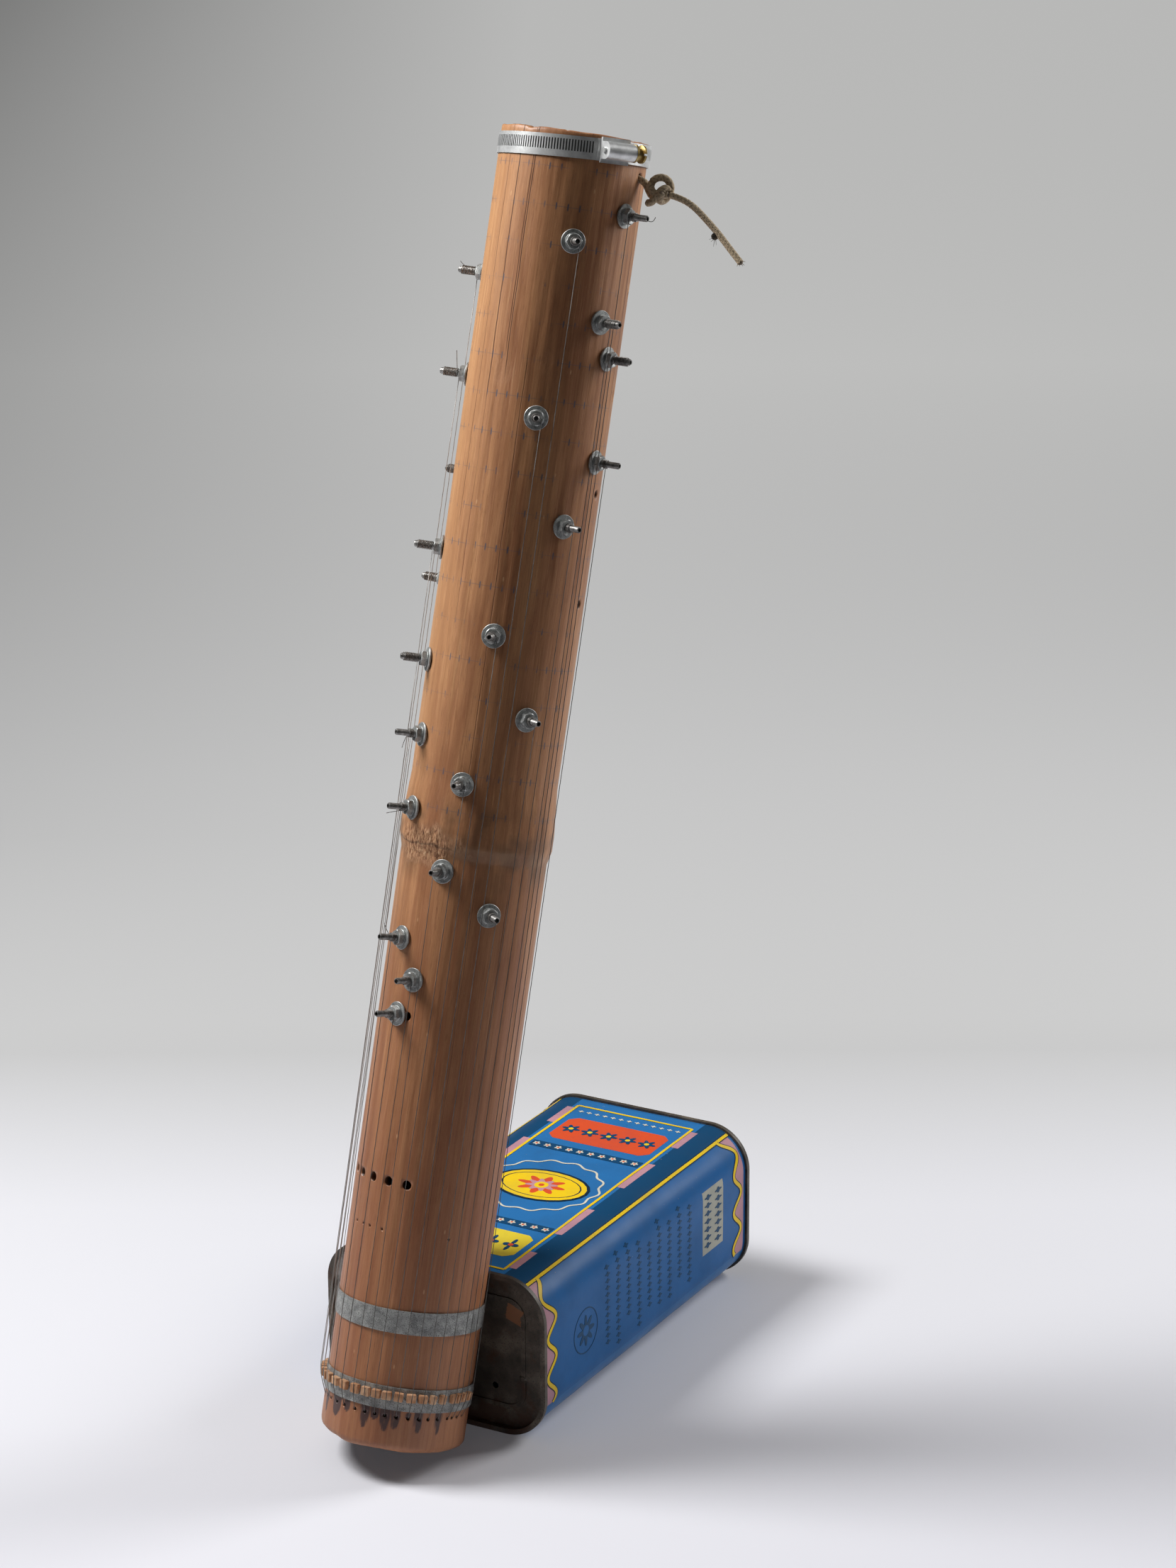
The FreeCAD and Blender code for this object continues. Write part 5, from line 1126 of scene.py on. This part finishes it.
class ZITHER_OT_tin(bpy.types.Operator):
    """Tin: thin printed wall with its saddle cut out for the tube, its print and its bare ends"""

    bl_idname = "zither.tin"
    bl_label = "Tin"

    def execute(self, context):
        sizes, colours = context.scene.zither_sizes, context.scene.zither_colours
        half, side, arc = *TIN_OUTLINE[:2], TIN_OUTLINE[2] * math.pi / 2
        corners = np.cumsum([0, half, arc, 2 * side, arc, half])
        marks = np.concatenate([np.linspace(a, b, 20)[:-1] for a, b in zip(corners[:-1], corners[1:])] + [corners[-1:]])
        around = np.concatenate([marks[:-1], -marks[:0:-1]]) * MM
        u, v = np.meshgrid(around, np.linspace(1.5, 265.5, 90) * MM)
        inner_u, inner_v = np.meshgrid(around, np.linspace(265.5, 1.5, 8) * MM)
        points = np.vstack([tin_point(u, v, tin_dent(u, v)).reshape(-1, 3),
                            tin_point(inner_u, inner_v, -0.8 * MM).reshape(-1, 3)])
        tin = make_piece("printed_tin_wall", points, [grid_faces(98, len(around), True, True)], sharp=60)
        turn, foot = tube_axes(sizes)
        saddle = sizes.radius + 1.3 * MM
        cut_away(tin, make_piece("saddle", *turned([(0, -0.05), (saddle, -0.05), (saddle, 0.4), (0, 0.4)], 160,
                                                   foot, turn)))
        dress(tin, tinplate_material("printed_tinplate_ground", tuple(colours.tin_blue)), replaces=["tin_body"])
        self.printed(tinplate_material("printed_tinplate_inks", None))
        finish_node("tin_near_end", sheet_metal("rusted_bare_tinplate_painted_light", *BARE_TIN, rust_and_painted_light))
        finish_node("tin_far_end", sheet_metal("bare_tinplate", *BARE_TIN))
        return {"FINISHED"}

    def printed(self, finish):
        """Lay the print on the wall as thin sheets, a layer above the next, and give them thickness."""
        ink = "1c4669"
        blue, navy, yellow, dark, red, pink, cream, pale = (
            "26609a", "174468", "e6c220", "14283a", "d0502d", "b98a94", "a9a99c", "d3cfbd")
        sheets = [(1, navy, panel(46, 62.8, 2, 265), 2), (1, blue, panel(62.8, 146, 2, 265), 2)]
        v = np.linspace(2, 265, 120)
        sheets += [(2, dark, stripe(62.8 + 0 * v, v, 1.6), 2), (3, yellow, stripe(62.8 + 0 * v, v, 1.0), 2)]
        sheets += [(2, pink, panel(43.6, 48.6, a, b), 2) for a, b in ((14, 40), (70, 112), (150, 192), (222, 250))]
        v = np.linspace(10, 254, 90)
        sheets += [(3, yellow, stripe(42.5 + 0 * v, v, 0.9), 2)]
        u = np.linspace(-42.5, 42.5, 40)
        sheets += [(3, yellow, stripe(u, 254 + 0 * u, 0.9), 1), (3, yellow, stripe(u[-6:], 10 + 0 * u[-6:], 0.9), 2)]

        sheets += [(1, red, panel(-37, 37, 200, 236, 5), 1), (1, "d8c23a", panel(-37, 37, 26, 60, 5), 1)]
        for place in np.linspace(-28, 28, 5):
            sheets += [(2, navy, bloom(place, 218, 6.4, 6.4, 6, 0.5), 1), (3, yellow, bloom(place, 218, 1.7), 1)]
            sheets += [(2, navy, bloom(place, 43, 5.4, 8.6, 4, 0.75), 1), (3, red, bloom(place, 43, 1.8), 1)]
        sheets += [(2, pale, bloom(place, 246, 2.0, 1.5, 4, 0.6), 1) for place in np.linspace(-36, 36, 13)]
        for row in (72, 187):
            u = np.linspace(-40, 40, 60)
            sheets += [(1, navy, stripe(u, row + 0 * u, 4.2), 1)]
            sheets += [(2, pale, bloom(place, row, 2.6, 2.6, 5, 0.45), 1) for place in np.linspace(-36, 36, 10)]
            sheets += [(3, red, bloom(place, row, 0.9), 1) for place in np.linspace(-36, 36, 10)]
        sheets += [(1, dark, bloom(0, 130, 33, 23), 1), (2, yellow, bloom(0, 130, 31, 21), 1),
                   (3, dark, bloom(0, 130, 27.5, 17.5, inner=0.965), 1)]
        sheets += [(3, red, bloom(0, 130, 17, 13.5, 8, 0.5), 1), (4, pink, bloom(0, 130, 11, 9, 8, 0.4, turn=0.39), 1),
                   (5, yellow, bloom(0, 130, 4.6), 1), (6, red, bloom(0, 130, 1.9), 1)]
        turn = np.linspace(0, 2 * math.pi, 161)
        wave = 1 + 0.035 * np.sin(14 * turn)
        sheets += [(1, pale, stripe(38 * wave * np.cos(turn), 130 + 38 * wave * np.sin(turn), 0.7), 1)]

        u = np.linspace(63.5, 146, 60)
        for base, sign in ((10, 1), (254, -1)):
            wave = base + sign * 5 * np.cos(2 * math.pi * (u - 63) / 26)
            edge = base - sign * 8.4
            fill = np.stack([np.full(len(u), edge), (edge + wave) / 2, wave])[::sign]
            sheets += [(2, pink, (np.broadcast_to(u, fill.shape), fill), 2), (3, dark, stripe(u, wave, 1.9), 2),
                       (4, yellow, stripe(u, wave, 1.3), 2)]
        sheets += [(2, ink, bloom(115, 52, 15, 15, inner=0.95), 2), (2, ink, bloom(115, 52, 10.5, 10.5, 8, 0.55), 2),
                   (3, blue, bloom(115, 52, 3.4), 2)]
        for row, (low, high) in enumerate(((84, 138), (80, 140), (80, 128), (84, 140), (90, 134), (80, 138),
                                           (86, 140), (82, 130), (86, 138))):
            sheets += [(2, ink, bloom(place, 80 + 13.5 * row, 1.7, 3.0, 4, 0.5), 2)
                       for place in np.arange(low, high, 4.6)]
        sheets += [(2, cream, panel(84, 128, 206, 234, 0), 2)]
        sheets += [(3, ink, bloom(place, across, 2.0, 4.6, 4, 0.5), 2)
                   for place in np.arange(89, 126, 5.6) for across in (213, 227)]
        sheets += [(2, yellow, stripe(np.full(60, 190.0), np.linspace(8, 258, 60), 0.8), 2)]

        parts, inks = [], []
        for layer, colour, (u, v), sides in sheets:
            for sign in (1, -1)[:sides]:
                across, along = (u, v) if sign > 0 else (-u[::-1], v[::-1])
                lift = tin_dent(across * MM, along * MM) + (0.07 + 0.03 * layer) * MM
                spots = tin_point(across * MM, along * MM, lift)
                parts.append((spots.reshape(-1, 3), [grid_faces(*across.shape)]))
                inks.append(np.tile(linear(colour), (across.size, 1)))
        piece = make_piece("tin_print", *joined(parts))
        field(piece, "ink", np.vstack(inks))
        solid = piece.modifiers.new("Thickness", "SOLIDIFY")
        solid.thickness = 0.15 * MM
        solid.offset = -1
        settle(piece)
        piece.data.set_sharp_from_angle(angle=math.radians(25))
        dress(piece, finish)


class ZITHER_OT_hardware(bpy.types.Operator):
    """Straps, nails, clamp and hidden screws keep their solids and get their metals"""

    bl_idname = "zither.hardware"
    bl_label = "Straps and clamp"

    def execute(self, context):
        galvanised = sheet_metal("galvanised_strap", "848583", "9a9b98", "b4b5b1", 0.35, 0.5, 5 * MM, 0.6 * MM, 1.25)
        # The clamp's metal has painted shade in its slots
        clamp = sheet_metal("rolled_clamp_steel", "d4d5d4", "e2e3e2", "f0f1f0", 0.62, 0.33, 6 * MM, 0.5 * MM, 0,
                            self.painted_slot_shade)
        brass = sheet_metal("yellow_zinc_screw", "8c7543", "b39a5f", "cdb880", 0.8, 0.36, 3 * MM, 0.4 * MM, 0.4,
                            self.plated)
        zinc = sheet_metal("zinc_plated_screw", *ZINC)
        for name, finish in (("upper_strap", galvanised), ("lower_strap", galvanised), ("strap_nails", galvanised),
                             ("tin_screws", zinc), ("clamp_band", clamp), ("clamp_housing", clamp),
                             ("clamp_screw", brass)):
            finish_node(name, finish)
        return {"FINISHED"}

    def painted_slot_shade(self, tree, colour):
        """Painted shade in the clamp's slots: dark where the surface lies below the band's outside."""
        reach = tube_pattern(tree, bpy.context.scene.zither_sizes)[2]
        return tinted(tree, colour, linear("2a2826"), reach, 44.55, 44.4, 0.9)

    def plated(self, tree, colour):
        """Yellow plating on the screw's head, worn to bare steel at its other end, by the place along it."""
        way = node(tree, "VectorMath", node(tree, "TexCoord", out="Object"), (0.495, 0.844, -0.204),
                   operation="DOT_PRODUCT", out="Value")
        return tinted(tree, colour, linear("c9cac8"), way, CLAMP_WAY, CLAMP_WAY - 0.001)


STEPS = (ZITHER_OT_stage, ZITHER_OT_cord, ZITHER_OT_bamboo_tube, ZITHER_OT_tuning_pins, ZITHER_OT_strings,
         ZITHER_OT_bridges, ZITHER_OT_tin, ZITHER_OT_hardware)
CLASSES = (ZitherSizes, ZitherColours, *STEPS)


class ZITHER_PT_pieces(bpy.types.Panel):
    """Lists the zither's pieces"""

    bl_idname = "ZITHER_PT_pieces"
    bl_label = "Tube zither"
    bl_space_type = "VIEW_3D"
    bl_region_type = "UI"
    bl_category = "Zither"

    def draw(self, context):
        for step in STEPS:
            self.layout.operator(step.bl_idname)


def register():
    for entry in (*CLASSES, ZITHER_PT_pieces):
        bpy.utils.register_class(entry)
    bpy.types.Scene.zither_sizes = PointerProperty(type=ZitherSizes)
    bpy.types.Scene.zither_colours = PointerProperty(type=ZitherColours)


def unregister():
    del bpy.types.Scene.zither_colours
    del bpy.types.Scene.zither_sizes
    for entry in reversed((*CLASSES, ZITHER_PT_pieces)):
        bpy.utils.unregister_class(entry)


def main():
    """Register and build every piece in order."""
    register()
    for step in STEPS:
        group, name = step.bl_idname.split(".")
        getattr(getattr(bpy.ops, group), name)()


if __name__ == "__main__":
    main()
